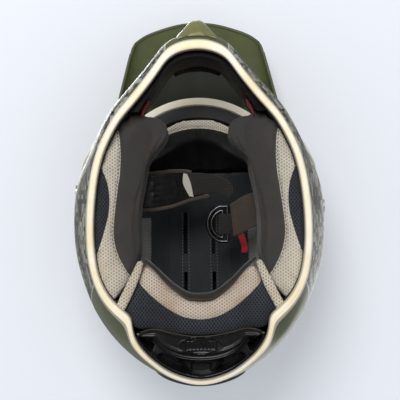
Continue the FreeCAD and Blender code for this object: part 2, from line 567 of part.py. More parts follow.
def right_strap():
    """The long strap, folded across the head space: cover, label, webbing and its snap."""
    panel = [(-STRAP_HINGE_X, STRAP_HINGE_Z), (-30, 108.5), (-10, 115.0), (12, 119.0)]
    plan = [(-STRAP_HINGE_X, -41), (-30, -42.5), (-9, -43.5), (-4, -30), (9, -19.5), (-9, -14), (-30, -8),
            (-STRAP_HINGE_X, -6)]
    keep("strap_cover_right", hinged_cover(-1, panel, plan))
    belt = [(-10, 118.2), (10, 122.0), (38, 123.5)]
    plan = [(-8, -41.5), (17, -39), (30, -32), (35.5, -20), (26, -20), (8, -21), (-3, -29)]
    keep("webbing_right", strip(belt, STRAP_T, plan))
    keep("strap_label", strip([(-22, 108.0), (-2, 113.6)], 0.6, [(-18, -41), (-12, -41), (-5, -19), (-8, -18),
                                                                 (-15, -25)]))
    keep("strap_snap", cylinder_z(6, -31, 118.1, 119.3, 4.5))


def left_strap():
    """The short strap: cover, loop, the two rings that it holds and the pull ribbon."""
    panel = [(32, 112.5), (38, 109.5), (STRAP_HINGE_X, STRAP_HINGE_Z)]
    plan = [(STRAP_HINGE_X, -18.5), (32.8, -10), (35.4, 22.5), (STRAP_HINGE_X, 18.0)]
    keep("strap_cover_left", hinged_cover(1, panel, plan))
    x0, x1 = RING_BAR_X - 6.2, RING_BAR_X + 6.2
    outer = box(x0 + 3, x1 - 3, RING_Y - LOOP_HALF, RING_Y + LOOP_HALF, RING_Z - 3.4, RING_Z + 3.4)
    inner = box(x0 + 4, x1 - 4, RING_Y - 12, RING_Y + 12, RING_Z - 2.1, RING_Z + 2.1)
    for x in (x0 + 3.4, x1 - 3.4):
        rod = Part.makeCylinder(3.4, 2 * LOOP_HALF, V(x, RING_Y - LOOP_HALF, RING_Z), V(0, 1, 0))
        hole = Part.makeCylinder(2.1, 24, V(x, RING_Y - 12, RING_Z), V(0, 1, 0))
        outer, inner = outer.fuse(rod), inner.fuse(hole)
    keep("webbing_left", one_solid(outer.cut(inner).removeSplitter()))
    for name, x, half, depth in (("d_ring_outer", RING_BAR_X + 2.4, 17.6, 20.0),
                                 ("d_ring_inner", RING_BAR_X - 2.4, 13.4, 11.4)):
        keep(name, d_ring(x, half, depth))
    keep("pull_ribbon", strip([(39, 106.3), (49, 102.2)], 1.0, [(40, 21.8), (45, 19.8), (48, 38), (41, 39)]))


def d_ring(x, half, depth):
    """A wire ring: a straight bar along Y at x, closed by a bow that reaches depth towards -X."""
    bend = half * 0.7
    a, b = V(x, RING_Y - half, RING_Z), V(x, RING_Y + half, RING_Z)
    c, d = V(x - depth + bend, b.y, RING_Z), V(x - depth + bend, a.y, RING_Z)
    bow = Part.Arc(c, V(x - depth, RING_Y, RING_Z), d).toShape()
    path = Part.Wire([Part.makeLine(a, b), Part.makeLine(b, c), bow, Part.makeLine(d, a)])
    face = Part.Wire(Part.makeCircle(RING_WIRE_R, V(x, RING_Y, RING_Z), V(0, 1, 0)))
    pieces = [Part.makeCylinder(RING_WIRE_R, 2 * half, a, V(0, 1, 0))]
    for start, end in ((b, c), (a, d)):
        if (end - start).Length > 0.01:
            pieces.append(Part.makeCylinder(RING_WIRE_R, (end - start).Length, start, end - start))
    ends = Part.Wire(Part.makeCircle(RING_WIRE_R, c, bow.tangentAt(bow.FirstParameter)))
    pieces.append(Part.Wire(bow).makePipeShell([ends], True, False))
    pieces += [Part.makeSphere(RING_WIRE_R, p) for p in (a, b, c, d)]
    return pieces[0].fuse(pieces[1:]).removeSplitter()


def main():
    for build in (outer_shell, rim_trim, eye_port_edgings, crown_foam, chin_foam, side_foam, cheek_pads,
                  head_pads, neck_roll, neck_outlet, vents, mouthpiece, peak, peak_fixings, strap_roots,
                  right_strap, left_strap):
        build()
    os.makedirs("parts", exist_ok=True)
    for name, shape in PARTS.items():
        print(f"{name}: valid {shape.isValid()}, solids {len(shape.Solids)}, {shape.Volume / 1000:.2f} cm3")
        shape.exportStep(f"parts/{name}.step")


main()
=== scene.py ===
"""Motocross helmet: soft goods, edgings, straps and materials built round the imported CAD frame.

Metres, in the frame of the CAD model: +Z is up as worn, the face looks along -Y and the wearer's left is
+X. The camera looks straight up into the neck opening.
"""

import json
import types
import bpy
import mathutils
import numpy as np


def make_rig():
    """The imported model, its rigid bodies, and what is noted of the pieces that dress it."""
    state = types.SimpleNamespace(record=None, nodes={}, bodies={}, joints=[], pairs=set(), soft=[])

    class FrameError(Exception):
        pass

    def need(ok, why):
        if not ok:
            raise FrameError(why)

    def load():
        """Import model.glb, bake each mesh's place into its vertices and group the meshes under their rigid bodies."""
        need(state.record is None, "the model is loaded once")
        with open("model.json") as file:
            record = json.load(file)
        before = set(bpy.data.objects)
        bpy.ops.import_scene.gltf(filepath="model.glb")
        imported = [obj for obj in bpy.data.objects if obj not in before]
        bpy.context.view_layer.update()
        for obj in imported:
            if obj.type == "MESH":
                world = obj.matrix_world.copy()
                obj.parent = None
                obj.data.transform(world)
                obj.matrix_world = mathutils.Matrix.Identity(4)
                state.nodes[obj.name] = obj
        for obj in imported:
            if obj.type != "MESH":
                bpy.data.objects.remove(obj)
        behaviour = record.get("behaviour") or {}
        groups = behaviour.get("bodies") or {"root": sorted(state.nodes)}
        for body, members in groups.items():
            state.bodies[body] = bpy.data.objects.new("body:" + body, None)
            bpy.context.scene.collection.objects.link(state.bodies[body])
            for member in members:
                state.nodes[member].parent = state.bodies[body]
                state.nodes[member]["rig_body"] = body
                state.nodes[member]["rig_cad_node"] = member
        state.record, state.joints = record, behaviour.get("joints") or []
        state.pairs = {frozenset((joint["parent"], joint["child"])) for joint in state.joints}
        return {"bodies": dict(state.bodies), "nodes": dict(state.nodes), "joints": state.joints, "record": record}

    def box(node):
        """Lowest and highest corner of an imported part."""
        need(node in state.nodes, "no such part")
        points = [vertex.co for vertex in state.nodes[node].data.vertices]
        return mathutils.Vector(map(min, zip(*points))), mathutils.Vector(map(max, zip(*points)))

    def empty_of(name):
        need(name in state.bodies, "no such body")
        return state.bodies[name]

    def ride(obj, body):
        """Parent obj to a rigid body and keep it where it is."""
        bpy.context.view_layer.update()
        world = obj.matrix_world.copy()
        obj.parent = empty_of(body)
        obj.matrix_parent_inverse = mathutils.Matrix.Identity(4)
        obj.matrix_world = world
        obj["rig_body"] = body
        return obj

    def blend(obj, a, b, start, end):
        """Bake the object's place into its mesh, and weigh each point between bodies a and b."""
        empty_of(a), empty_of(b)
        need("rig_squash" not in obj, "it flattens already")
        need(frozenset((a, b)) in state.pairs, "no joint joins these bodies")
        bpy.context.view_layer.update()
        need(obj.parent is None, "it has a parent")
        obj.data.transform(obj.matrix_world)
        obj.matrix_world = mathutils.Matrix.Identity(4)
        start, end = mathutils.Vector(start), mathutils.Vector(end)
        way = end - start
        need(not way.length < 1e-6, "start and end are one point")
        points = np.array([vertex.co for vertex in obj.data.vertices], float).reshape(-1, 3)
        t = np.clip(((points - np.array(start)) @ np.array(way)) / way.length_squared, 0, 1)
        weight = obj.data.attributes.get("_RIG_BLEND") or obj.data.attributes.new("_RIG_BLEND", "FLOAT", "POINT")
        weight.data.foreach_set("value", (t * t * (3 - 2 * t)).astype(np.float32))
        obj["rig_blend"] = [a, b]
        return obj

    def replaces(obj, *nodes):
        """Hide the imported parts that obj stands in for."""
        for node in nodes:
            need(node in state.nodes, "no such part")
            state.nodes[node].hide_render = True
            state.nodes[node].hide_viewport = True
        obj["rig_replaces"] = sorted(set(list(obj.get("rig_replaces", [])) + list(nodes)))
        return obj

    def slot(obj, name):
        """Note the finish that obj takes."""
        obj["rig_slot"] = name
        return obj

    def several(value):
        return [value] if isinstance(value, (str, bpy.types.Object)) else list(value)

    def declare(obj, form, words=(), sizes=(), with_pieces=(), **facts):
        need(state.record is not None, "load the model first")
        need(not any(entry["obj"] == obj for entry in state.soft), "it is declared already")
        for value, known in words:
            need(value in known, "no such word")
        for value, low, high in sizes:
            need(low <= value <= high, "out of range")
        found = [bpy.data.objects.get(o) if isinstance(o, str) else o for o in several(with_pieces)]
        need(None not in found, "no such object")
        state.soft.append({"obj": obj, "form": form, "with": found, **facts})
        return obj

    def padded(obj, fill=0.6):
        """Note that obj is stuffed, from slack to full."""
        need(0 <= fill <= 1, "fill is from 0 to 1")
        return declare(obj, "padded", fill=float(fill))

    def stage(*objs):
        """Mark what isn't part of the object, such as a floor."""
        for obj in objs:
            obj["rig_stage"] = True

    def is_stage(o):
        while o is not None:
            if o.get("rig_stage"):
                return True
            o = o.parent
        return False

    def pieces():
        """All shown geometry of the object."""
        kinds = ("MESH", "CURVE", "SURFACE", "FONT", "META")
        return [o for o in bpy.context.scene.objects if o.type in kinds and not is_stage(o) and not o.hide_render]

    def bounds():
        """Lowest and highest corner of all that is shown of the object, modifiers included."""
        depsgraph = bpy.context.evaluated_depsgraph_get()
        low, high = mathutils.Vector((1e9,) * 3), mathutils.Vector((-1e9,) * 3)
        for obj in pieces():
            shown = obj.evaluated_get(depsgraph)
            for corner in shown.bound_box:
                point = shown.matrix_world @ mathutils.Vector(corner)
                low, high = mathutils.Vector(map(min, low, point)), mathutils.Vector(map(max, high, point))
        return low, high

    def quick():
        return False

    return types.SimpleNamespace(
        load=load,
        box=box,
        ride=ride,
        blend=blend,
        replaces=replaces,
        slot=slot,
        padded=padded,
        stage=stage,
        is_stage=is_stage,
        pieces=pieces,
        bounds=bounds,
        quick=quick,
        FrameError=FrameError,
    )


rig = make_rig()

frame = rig.load()

import bmesh
import bpy
import json
import math
from mathutils import Matrix, Vector, noise
from mathutils.bvhtree import BVHTree

cad_low, cad_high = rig.bounds()
nodes = frame["nodes"]
MM = 0.001


# ---------------- node materials
def srgb(red, green, blue):
    """A linear colour from 0 to 255 screen values."""
    def linear(v):
        v /= 255.0
        return v / 12.92 if v <= 0.04045 else ((v + 0.055) / 1.055) ** 2.4
    return (linear(red), linear(green), linear(blue), 1.0)


class Finish:
    """A principled material, with short calls that add nodes and give back their output sockets."""

    def __init__(self, name, roughness=0.6, **settings):
        self.material = bpy.data.materials.new(name)
        self.material.use_nodes = True
        self.tree = self.material.node_tree
        self.shader = self.tree.nodes["Principled BSDF"]
        self.shader.inputs["Roughness"].default_value = roughness
        for word, value in settings.items():
            self.shader.inputs[word.replace("_", " ").title().replace("Ior", "IOR")].default_value = value
        place = self.tree.nodes.new("ShaderNodeTexCoord")
        self.place, self.normal = place.outputs["Object"], place.outputs["Normal"]

    def feed(self, socket, value):
        if isinstance(value, bpy.types.NodeSocket):
            self.tree.links.new(value, socket)
        else:
            socket.default_value = value

    def add(self, kind, out, inputs, **settings):
        node = self.tree.nodes.new("ShaderNode" + kind)
        for word, value in settings.items():
            setattr(node, word, value)
        for key, value in inputs.items():
            self.feed(node.inputs[key], value)
        return node.outputs[out]

    def calc(self, operation, a, b=0.0, c=0.0):
        return self.add("Math", 0, {0: a, 1: b, 2: c}, operation=operation)

    def plus(self, a, b):
        return self.calc("ADD", a, b)

    def minus(self, a, b):
        return self.calc("SUBTRACT", a, b)

    def times(self, a, b):
        return self.calc("MULTIPLY", a, b)

    def size(self, a):
        return self.calc("ABSOLUTE", a)

    def near(self, gap, width):
        """1 where gap is 0, down to 0 at width from there."""
        return self.minus(1.0, self.step(self.size(gap), 0.0, width))

    def step(self, value, low, high):
        """0 below low, 1 above high, smooth between."""
        return self.add("MapRange", 0, {0: value, 1: low, 2: high, 3: 0.0, 4: 1.0},
                        interpolation_type="SMOOTHSTEP")

    def blend(self, share, a, b):
        return self.add("Mix", 2, {0: share, 6: a, 7: b}, data_type="RGBA")

    def mix(self, share, a, b):
        return self.add("Mix", 0, {0: share, 2: a, 3: b})

    def cloud(self, scale, detail=3.0, rough=0.6, at=None):
        return self.add("TexNoise", 0, {"Vector": at or self.place, "Scale": scale, "Detail": detail,
                                        "Roughness": rough})

    def parts(self, vector=None):
        node = self.tree.nodes.new("ShaderNodeSeparateXYZ")
        self.feed(node.inputs[0], vector or self.place)
        return node.outputs[0], node.outputs[1], node.outputs[2]

    def flat(self):
        """Two coordinates along the surface: those of the axis plane that it faces most."""
        x, y, z = self.parts()
        nx, ny, nz = (self.size(n) for n in self.parts(self.normal))
        level = self.calc("GREATER_THAN", nz, 0.6)
        sideways = self.times(self.calc("GREATER_THAN", nx, ny), self.minus(1.0, level))
        return self.mix(sideways, x, y), self.mix(level, z, y)

    def curve(self, points, value):
        """A smooth function of value through (value, result) points, in metres."""
        low, high = points[0][0], points[-1][0]
        results = [r for _, r in points]
        floor, span = min(results), max(max(results) - min(results), 1e-6)
        node = self.tree.nodes.new("ShaderNodeFloatCurve")
        line = node.mapping.curves[0]
        for v, r in points[1:-1]:
            line.points.new((v - low) / (high - low), (r - floor) / span)
        line.points[0].location = (0.0, (results[0] - floor) / span)
        line.points[-1].location = (1.0, (results[-1] - floor) / span)
        node.mapping.update()
        self.feed(node.inputs["Value"], self.calc("DIVIDE", self.minus(value, low), high - low))
        return self.calc("MULTIPLY_ADD", node.outputs[0], span, floor)

    def colour(self, value):
        self.feed(self.shader.inputs["Base Color"], value)

    def rough(self, value):
        self.feed(self.shader.inputs["Roughness"], value)

    def bump(self, height, depth, over=None):
        """Relief of the given depth in metres, over an earlier bump."""
        inputs = {"Height": height, "Distance": depth, "Strength": 1.0}
        if over is not None:
            inputs["Normal"] = over
        relief = self.add("Bump", 0, inputs)
        self.feed(self.shader.inputs["Normal"], relief)
        return relief


def moulded(name, base, worn, roughness, grain=0.02 * MM, grain_size=0.5 * MM, **settings):
    """Plastic, paint or rubber: slow colour drift, scuffs, uneven gloss and a fine moulded grain."""
    f = Finish(name, roughness, **settings)
    drift = f.step(f.cloud(22.0, 4.0), 0.35, 0.7)
    scuff = f.step(f.cloud(160.0, 5.0, 0.75), 0.60, 0.76)
    f.colour(f.blend(f.times(scuff, 0.5), f.blend(drift, base, worn), worn))
    f.rough(f.mix(f.cloud(70.0, 4.0), max(0.02, roughness - 0.10), min(1.0, roughness + 0.14)))
    f.bump(f.cloud(1.0 / grain_size, 2.0), grain)
    return f.material


def mesh_holes(f, pitch):
    """1 on the threads and 0 in the holes of a mesh cloth; holes lie in staggered rows."""
    u, v = f.flat()
    k = 2 * math.pi / pitch
    waves = [f.calc("COSINE", f.plus(f.times(u, k * cu), f.times(v, k * cv)))
             for cu, cv in ((1.0, 0.0), (0.5, 0.75), (-0.5, 0.75))]
    total = f.plus(f.plus(waves[0], waves[1]), waves[2])
    return f.step(total, 1.5, 0.1)


def grid_threads(f, pitch):
    """1 on the threads and 0 between them, for a net of two crossing sets of threads."""
    u, v = f.flat()
    k = 2 * math.pi / pitch
    sets = [f.calc("COSINE", f.plus(f.times(u, k * 0.8), f.times(v, k * side)))
            for side in (0.6, -0.6)]
    return f.step(f.calc("MAXIMUM", sets[0], sets[1]), 0.1, 0.9)


def spacer_mesh(name, thread, hole, stain=None):
    """Three-dimensional mesh cloth: staggered holes between raised threads."""
    f = Finish(name, 0.85, Sheen_Weight=0.25)
    solid = mesh_holes(f, 2.3 * MM)
    f.bump(f.plus(solid, f.times(f.cloud(2600.0, 2.0), 0.35)), 0.35 * MM)
    shade = f.blend(f.step(f.cloud(45.0, 4.0), 0.35, 0.75), thread, stain or thread)
    f.colour(f.blend(solid, hole, shade))
    return f.material


def suede(name, base, worn):
    """Brushed cloth: fine fibres, and patches where the pile lies the other way."""
    f = Finish(name, 0.9, Sheen_Weight=0.35, Sheen_Roughness=0.5)
    patch = f.step(f.cloud(38.0, 5.0, 0.65), 0.40, 0.68)
    fibre = f.cloud(2200.0, 3.0, 0.7)
    f.bump(f.plus(fibre, f.times(f.cloud(420.0, 3.0), 0.7)), 0.16 * MM)
    f.colour(f.blend(f.times(fibre, 0.35), f.blend(patch, base, worn), worn))
    return f.material


def woven(name, base, shadow, along=(1.0, 0.0), rib=1.3 * MM, roughness=0.75, sheen=0.2):
    """Webbing or ribbon: ribs across the length and a fine over-and-under weave."""
    f = Finish(name, roughness, Sheen_Weight=sheen)
    x, y, _ = f.parts()
    a = f.plus(f.times(x, along[0]), f.times(y, along[1]))
    b = f.plus(f.times(x, -along[1]), f.times(y, along[0]))
    k = 2 * math.pi / rib
    over = f.times(f.calc("SINE", f.times(a, k)), f.calc("SINE", f.times(b, k)))
    wale = f.calc("SINE", f.times(b, k * 0.5))
    height = f.plus(f.times(over, 0.5), f.times(wale, 0.3))
    f.bump(f.plus(height, f.cloud(1800.0, 2.0)), 0.22 * MM)
    f.colour(f.blend(f.step(height, -0.5, 0.5), shadow, f.blend(f.cloud(60.0, 4.0), base, shadow)))
    return f.material


def metal(name, base, roughness):
    """Plated metal with fine brushed lines and small stains."""
    f = Finish(name, roughness, Metallic=1.0)
    stretched = f.add("VectorMath", 0, {0: f.place, 1: (0.15, 1.0, 1.0)}, operation="MULTIPLY")
    lines = f.cloud(900.0, 3.0, 0.7, stretched)
    stain = tuple(c * 0.55 for c in base[:3]) + (1.0,)
    f.colour(f.blend(f.step(f.cloud(240.0, 5.0), 0.45, 0.75), base, stain))
    f.rough(f.mix(lines, roughness * 0.6, roughness * 1.5))
    f.bump(lines, 0.015 * MM)
    return f.material


def bead_foam(name, base, gap):
    """Expanded polystyrene with a black coat: pressed beads of about 3.5 mm."""
    f = Finish(name, 0.7)
    edge = f.add("TexVoronoi", "Distance", {"Vector": f.place, "Scale": 290.0}, feature="DISTANCE_TO_EDGE")
    f.colour(f.blend(f.step(edge, 0.0, 0.12), gap, f.blend(f.cloud(80.0, 3.0), base, gap)))
    f.bump(f.step(edge, 0.0, 0.25), 0.25 * MM)
    return f.material


def shell_paint():
    """Satin olive paint; a blocky camouflage of greys covers the lower sides, edged with a pale line."""
    f = Finish("shell_paint", 0.46, Coat_Weight=0.12, Coat_Roughness=0.3)
    x, y, z = f.parts()
    olive = f.blend(f.step(f.cloud(14.0, 4.0), 0.35, 0.7), srgb(92, 97, 56), srgb(80, 86, 50))
    block = 4.2 * MM
    snapped = f.add("VectorMath", 0, {0: f.place, 1: (block, block, block)}, operation="SNAP")
    tone = f.plus(f.times(f.cloud(34.0, 2.0, 0.5, snapped), 0.72),
                  f.times(f.add("TexWhiteNoise", 0, {"Vector": snapped}), 0.28))
    ramp = f.tree.nodes.new("ShaderNodeValToRGB")
    ramp.color_ramp.interpolation = "CONSTANT"
    stops = [(0.0, srgb(34, 36, 28)), (0.43, srgb(84, 87, 70)), (0.50, srgb(132, 131, 118)),
             (0.57, srgb(176, 174, 160)), (0.66, srgb(100, 103, 72))]
    while len(ramp.color_ramp.elements) < len(stops):
        ramp.color_ramp.elements.new(0.5)
    for element, (position, shade) in zip(ramp.color_ramp.elements, stops):
        element.position, element.color = position, shade
    f.feed(ramp.inputs[0], tone)
    top_line = [(-0.160, 0.052), (-0.110, 0.070), (-0.060, 0.084), (0.0, 0.096), (0.060, 0.088),
                (0.105, 0.060), (0.125, 0.030)]
    below = f.minus(f.curve(top_line, y), z)
    side = f.minus(f.size(x), 0.030)
    rear = f.minus(f.calc("MULTIPLY_ADD", z, 0.4, 0.056), y)
    edge = f.calc("MINIMUM", f.calc("MINIMUM", below, side), rear)
    pattern = f.step(edge, 0.0, 0.15 * MM)
    line = f.minus(f.step(edge, -1.8 * MM, -1.5 * MM), f.step(edge, -0.2 * MM, 0.0))
    dirt = f.times(f.step(f.cloud(120.0, 6.0, 0.75), 0.56, 0.78), 0.45)
    painted = f.blend(line, f.blend(pattern, olive, ramp.outputs[0]), srgb(196, 194, 180))
    centred = f.add("VectorMath", 0, {0: f.place, 1: (0.0, 0.0, 0.12)}, operation="SUBTRACT")
    facing = f.add("VectorMath", 1, {0: centred, 1: f.normal}, operation="DOT_PRODUCT")
    outside = f.step(facing, -0.02, 0.0)
    f.colour(f.blend(outside, srgb(18, 18, 19), f.blend(dirt, painted, srgb(66, 66, 48))))
    f.rough(f.mix(f.cloud(90.0, 5.0), 0.34, 0.56))
    f.bump(f.cloud(700.0, 2.0), 0.02 * MM)
    return f.material


def peak_plastic():
    """Olive plastic; the underside is dark where the brow and chin bar shade it."""
    f = Finish("peak_plastic", 0.5, Coat_Weight=0.1)
    x, y, _ = f.parts()
    facing_down = f.step(f.parts(f.normal)[2], 0.0, -0.2)
    shade = f.times(f.step(y, -0.170, -0.160), f.step(f.size(x), 0.060, 0.049))
    shade = f.times(shade, facing_down)
    olive = f.blend(f.step(f.cloud(22.0, 4.0), 0.35, 0.7), srgb(88, 94, 56), srgb(74, 80, 46))
    scuff = f.times(f.step(f.cloud(160.0, 5.0, 0.75), 0.60, 0.76), 0.5)
    f.colour(f.blend(shade, f.blend(scuff, olive, srgb(74, 80, 46)), srgb(26, 28, 12)))
    f.rough(f.mix(f.cloud(70.0, 4.0), 0.40, 0.64))
    f.bump(f.cloud(2000.0, 2.0), 0.02 * MM)
    return f.material


IVORY, IVORY_WORN = srgb(247, 242, 227), srgb(242, 231, 203)
finishes = {
    "shell_paint": shell_paint(),
    "peak_plastic": peak_plastic(),
    "nose_plastic": moulded("nose_plastic", srgb(134, 134, 78), srgb(116, 116, 62), 0.42, Coat_Weight=0.15),
    "rim_rubber": moulded("rim_rubber", IVORY, IVORY_WORN, 0.52, 0.03 * MM, 0.8 * MM),
    "black_rubber": moulded("black_rubber", srgb(17, 17, 18), srgb(26, 26, 26), 0.50, 0.05 * MM),
    "crown_eps": bead_foam("crown_eps", srgb(44, 44, 46), srgb(14, 14, 15)),
    "chin_lining": moulded("chin_lining", srgb(8, 8, 11), srgb(13, 13, 17), 0.40, 0.03 * MM, 0.9 * MM,
                           Specular_IOR_Level=0.06),
    "suede": suede("suede", srgb(64, 61, 59), srgb(80, 72, 67)),
    "black_mesh": spacer_mesh("black_mesh", srgb(72, 75, 82), srgb(18, 19, 22)),
    "pale_mesh": spacer_mesh("pale_mesh", srgb(238, 230, 214), srgb(176, 164, 146), srgb(222, 207, 186)),
    "black_plastic": moulded("black_plastic", srgb(30, 30, 32), srgb(44, 44, 46), 0.30, 0.015 * MM),
    "vent_plastic": moulded("vent_plastic", srgb(48, 50, 44), srgb(60, 62, 54), 0.5, 0.03 * MM),
    "screw_plastic": moulded("screw_plastic", srgb(26, 26, 27), srgb(46, 46, 46), 0.35),
    "steel": metal("steel", srgb(196, 196, 196), 0.3),
    "dark_steel": metal("dark_steel", srgb(96, 97, 100), 0.28),
    "red_ribbon": woven("red_ribbon", srgb(226, 40, 52), srgb(150, 14, 26), rib=1.0 * MM),
    "webbing": woven("webbing", srgb(62, 58, 52), srgb(26, 25, 23)),
    "strap_vinyl": moulded("strap_vinyl", srgb(16, 16, 17), srgb(30, 30, 31), 0.24, 0.05 * MM, 0.9 * MM),
    "label_cloth": woven("label_cloth", srgb(252, 249, 240), srgb(228, 222, 206), rib=0.7 * MM),
    "thread": woven("thread", srgb(70, 64, 60), srgb(36, 32, 30), rib=0.6 * MM),
    "pale_thread": woven("pale_thread", srgb(168, 170, 168), srgb(120, 122, 122), rib=0.6 * MM),
    "tan_thread": woven("tan_thread", srgb(132, 120, 94), srgb(90, 80, 60), rib=0.6 * MM),
    "dark_suede": suede("dark_suede", srgb(46, 41, 38), srgb(60, 53, 48)),
    "brown_suede": suede("brown_suede", srgb(74, 66, 58), srgb(90, 78, 65)),
    "peak_edge": moulded("peak_edge", srgb(72, 77, 44), srgb(60, 64, 36), 0.5),
    "outlet": moulded("outlet", srgb(27, 27, 29), srgb(42, 42, 44), 0.22, 0.02 * MM, 0.7 * MM),
    "slat": moulded("slat", srgb(24, 25, 23), srgb(40, 41, 38), 0.45),
}
slot_of = {part["node"]: part["material_slot"] for part in frame["record"]["subparts"]}
for name, node in nodes.items():
    node.data.materials.clear()
    node.data.materials.append(finishes[slot_of[name]])


# ---------------- camera, stage and light
def add_camera():
    data = bpy.data.cameras.new("camera")
    data.sensor_width, distance, half_width = 36.0, 0.9, 0.1794
    data.lens = data.sensor_width / 2 * distance / half_width
    camera = bpy.data.objects.new("camera", data)
    bpy.context.scene.collection.objects.link(camera)
    looking_up = Matrix(((1, 0, 0), (0, -1, 0), (0, 0, -1))).to_4x4()
    camera.matrix_world = (Matrix.Translation((0.001, -0.0145, -distance)) @ looking_up
                           @ Matrix.Rotation(math.radians(-0.8), 4, "Z"))
    bpy.context.scene.camera = camera


def one_sided(name, colour, seen_from_above):
    """A plain pale finish that shows on one side of a sheet only."""
    material = bpy.data.materials.new(name)
    material.use_nodes = True
    tree = material.node_tree
    tree.nodes.clear()
    make = lambda kind: tree.nodes.new("ShaderNode" + kind)
    matt, clear, side, choice, out = (make(k) for k in ("BsdfDiffuse", "BsdfTransparent", "NewGeometry",
                                                        "MixShader", "OutputMaterial"))
    matt.inputs["Color"].default_value = colour
    tree.links.new(side.outputs["Backfacing"], choice.inputs[0])
    first, second = (matt, clear) if seen_from_above else (clear, matt)
    tree.links.new(first.outputs[0], choice.inputs[1])
    tree.links.new(second.outputs[0], choice.inputs[2])
    tree.links.new(choice.outputs[0], out.inputs[0])
    return material


def add_sheet(name, height, half, material):
    mesh = bpy.data.meshes.new(name)
    mesh.from_pydata([(-half, -half, height), (half, -half, height), (half, half, height),
                      (-half, half, height)], [], [(0, 1, 2, 3)])
    mesh.materials.append(material)
    sheet = bpy.data.objects.new(name, mesh)
    bpy.context.scene.collection.objects.link(sheet)
    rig.stage(sheet)
    return sheet


def add_area(name, location, aim_z, size, watts):
    """A soft round lamp that points at a height on the helmet's axis."""
    data = bpy.data.lights.new(name, "AREA")
    data.shape, data.size, data.energy = "DISK", size, watts
    lamp = bpy.data.objects.new(name, data)
    lamp.location = location
    aim = Vector((0, 0, aim_z)) - Vector(location)
    lamp.rotation_euler = aim.to_track_quat("-Z", "Y").to_euler()
    bpy.context.scene.collection.objects.link(lamp)


def add_stage():
    """A floor for views from above, and the paper that the helmet lies on for the view from below."""
    floor = add_sheet("floor", cad_low.z - 0.0005, 6.0, one_sided("floor_pale", srgb(226, 228, 232), True))
    floor.visible_shadow = False
    paper = add_sheet("paper", cad_high.z + 0.001, 6.0, one_sided("paper_pale", srgb(236, 238, 243), False))
    for rays in ("visible_diffuse", "visible_glossy", "visible_transmission", "visible_shadow"):
        setattr(paper, rays, False)
    add_area("key_below", (-0.14, -0.50, -1.25), 0.08, 0.5, 10)
    add_area("fill_below", (0.35, 0.3, -1.25), 0.08, 1.0, 2)
    add_area("key_above", (-0.35, -0.45, 2.0), 0.12, 0.9, 19)
    add_area("fill_above", (0.35, 0.3, 2.0), 0.12, 1.2, 10)
    world = bpy.data.worlds.new("world")
    world.use_nodes = True
    world.node_tree.nodes["Background"].inputs[0].default_value = (0.95, 0.97, 1.0, 1.0)
    world.node_tree.nodes["Background"].inputs[1].default_value = 0.40
    bpy.context.scene.world = world
    bpy.context.scene.view_settings.view_transform = "Standard"


# ---------------- mesh helpers
def smooth(table, x):
    """A smooth curve through (x, value) points, level at both ends."""
    if x <= table[0][0]:
        return table[0][1]
    for i in range(len(table) - 1):
        (x0, y0), (x1, y1) = table[i], table[i + 1]
        if x <= x1:
            before = table[i - 1] if i else None
            after = table[i + 2] if i + 2 < len(table) else None
            m0 = (y1 - before[1]) / (x1 - before[0]) if before else 0.0
            m1 = (after[1] - y0) / (after[0] - x0) if after else 0.0
            h, t = x1 - x0, (x - x0) / (x1 - x0)
            return (y0 * (1 + 2 * t) * (1 - t) ** 2 + m0 * h * t * (1 - t) ** 2
                    + y1 * t * t * (3 - 2 * t) + m1 * h * t * t * (t - 1))
    return table[-1][1]


def rise(value, low, high):
    t = min(1.0, max(0.0, (value - low) / (high - low)))
    return t * t * (3 - 2 * t)


def millimetres(table):
    return [(a * MM, b * MM) for a, b in table]


def through(points, steps, closed=False):
    """Points along a smooth line (Catmull-Rom) through the given ones, in millimetres to metres."""
    knots = [Vector(p) * MM for p in points]
    count = len(knots)
    line = []
    for i in range(count if closed else count - 1):
        a, b, c, d = (knots[(i + k) % count] if closed else knots[min(max(i + k, 0), count - 1)]
                      for k in (-1, 0, 1, 2))
        for j in range(steps):
            t = j / steps
            line.append(0.5 * (2 * b + (c - a) * t + (2 * a - 5 * b + 4 * c - d) * t * t
                               + (3 * b - a - 3 * c + d) * t ** 3))
    return line if closed else line + [knots[-1]]


def new_object(name, mesh):
    item = bpy.data.objects.new(name, mesh)
    bpy.context.scene.collection.objects.link(item)
    return item


def loft(name, rings, closed=False, sharp=45.0):
    """A closed surface through rings of points; closed joins the last ring to the first."""
    mesh = bpy.data.meshes.new(name)
    size, count = len(rings[0]), len(rings)
    faces = []
    for i in range(count if closed else count - 1):
        j = (i + 1) % count
        for k in range(size):
            m = (k + 1) % size
            faces.append((i * size + k, i * size + m, j * size + m, j * size + k))
    if not closed:
        faces.append(tuple(reversed(range(size))))
        faces.append(tuple(range((count - 1) * size, count * size)))
    mesh.from_pydata([p for ring in rings for p in ring], [], faces)
    tidy(mesh, sharp)
    return new_object(name, mesh)


def made_from(work, name, sharp=None):
    """The object that a bmesh makes; sharp is the angle for tidy."""
    mesh = bpy.data.meshes.new(name)
    work.to_mesh(mesh)
    work.free()
    if sharp is not None:
        tidy(mesh, sharp)
    return new_object(name, mesh)


def tidy(mesh, sharp=45.0):
    """Outward normals and smooth shading, with edges sharper than the angle kept crisp."""
    work = bmesh.new()
    work.from_mesh(mesh)
    bmesh.ops.remove_doubles(work, verts=work.verts, dist=0.001 * MM)
    bmesh.ops.recalc_face_normals(work, faces=work.faces)
    for face in work.faces:
        face.smooth = True
    work.to_mesh(mesh)
    work.free()
    mesh.set_sharp_from_angle(angle=math.radians(sharp))


def join(name, items):
    """One object from several, by copying their meshes together."""
    work = bmesh.new()
    for item in items:
        work.from_mesh(item.data)
        bpy.data.objects.remove(item)
    return made_from(work, name)


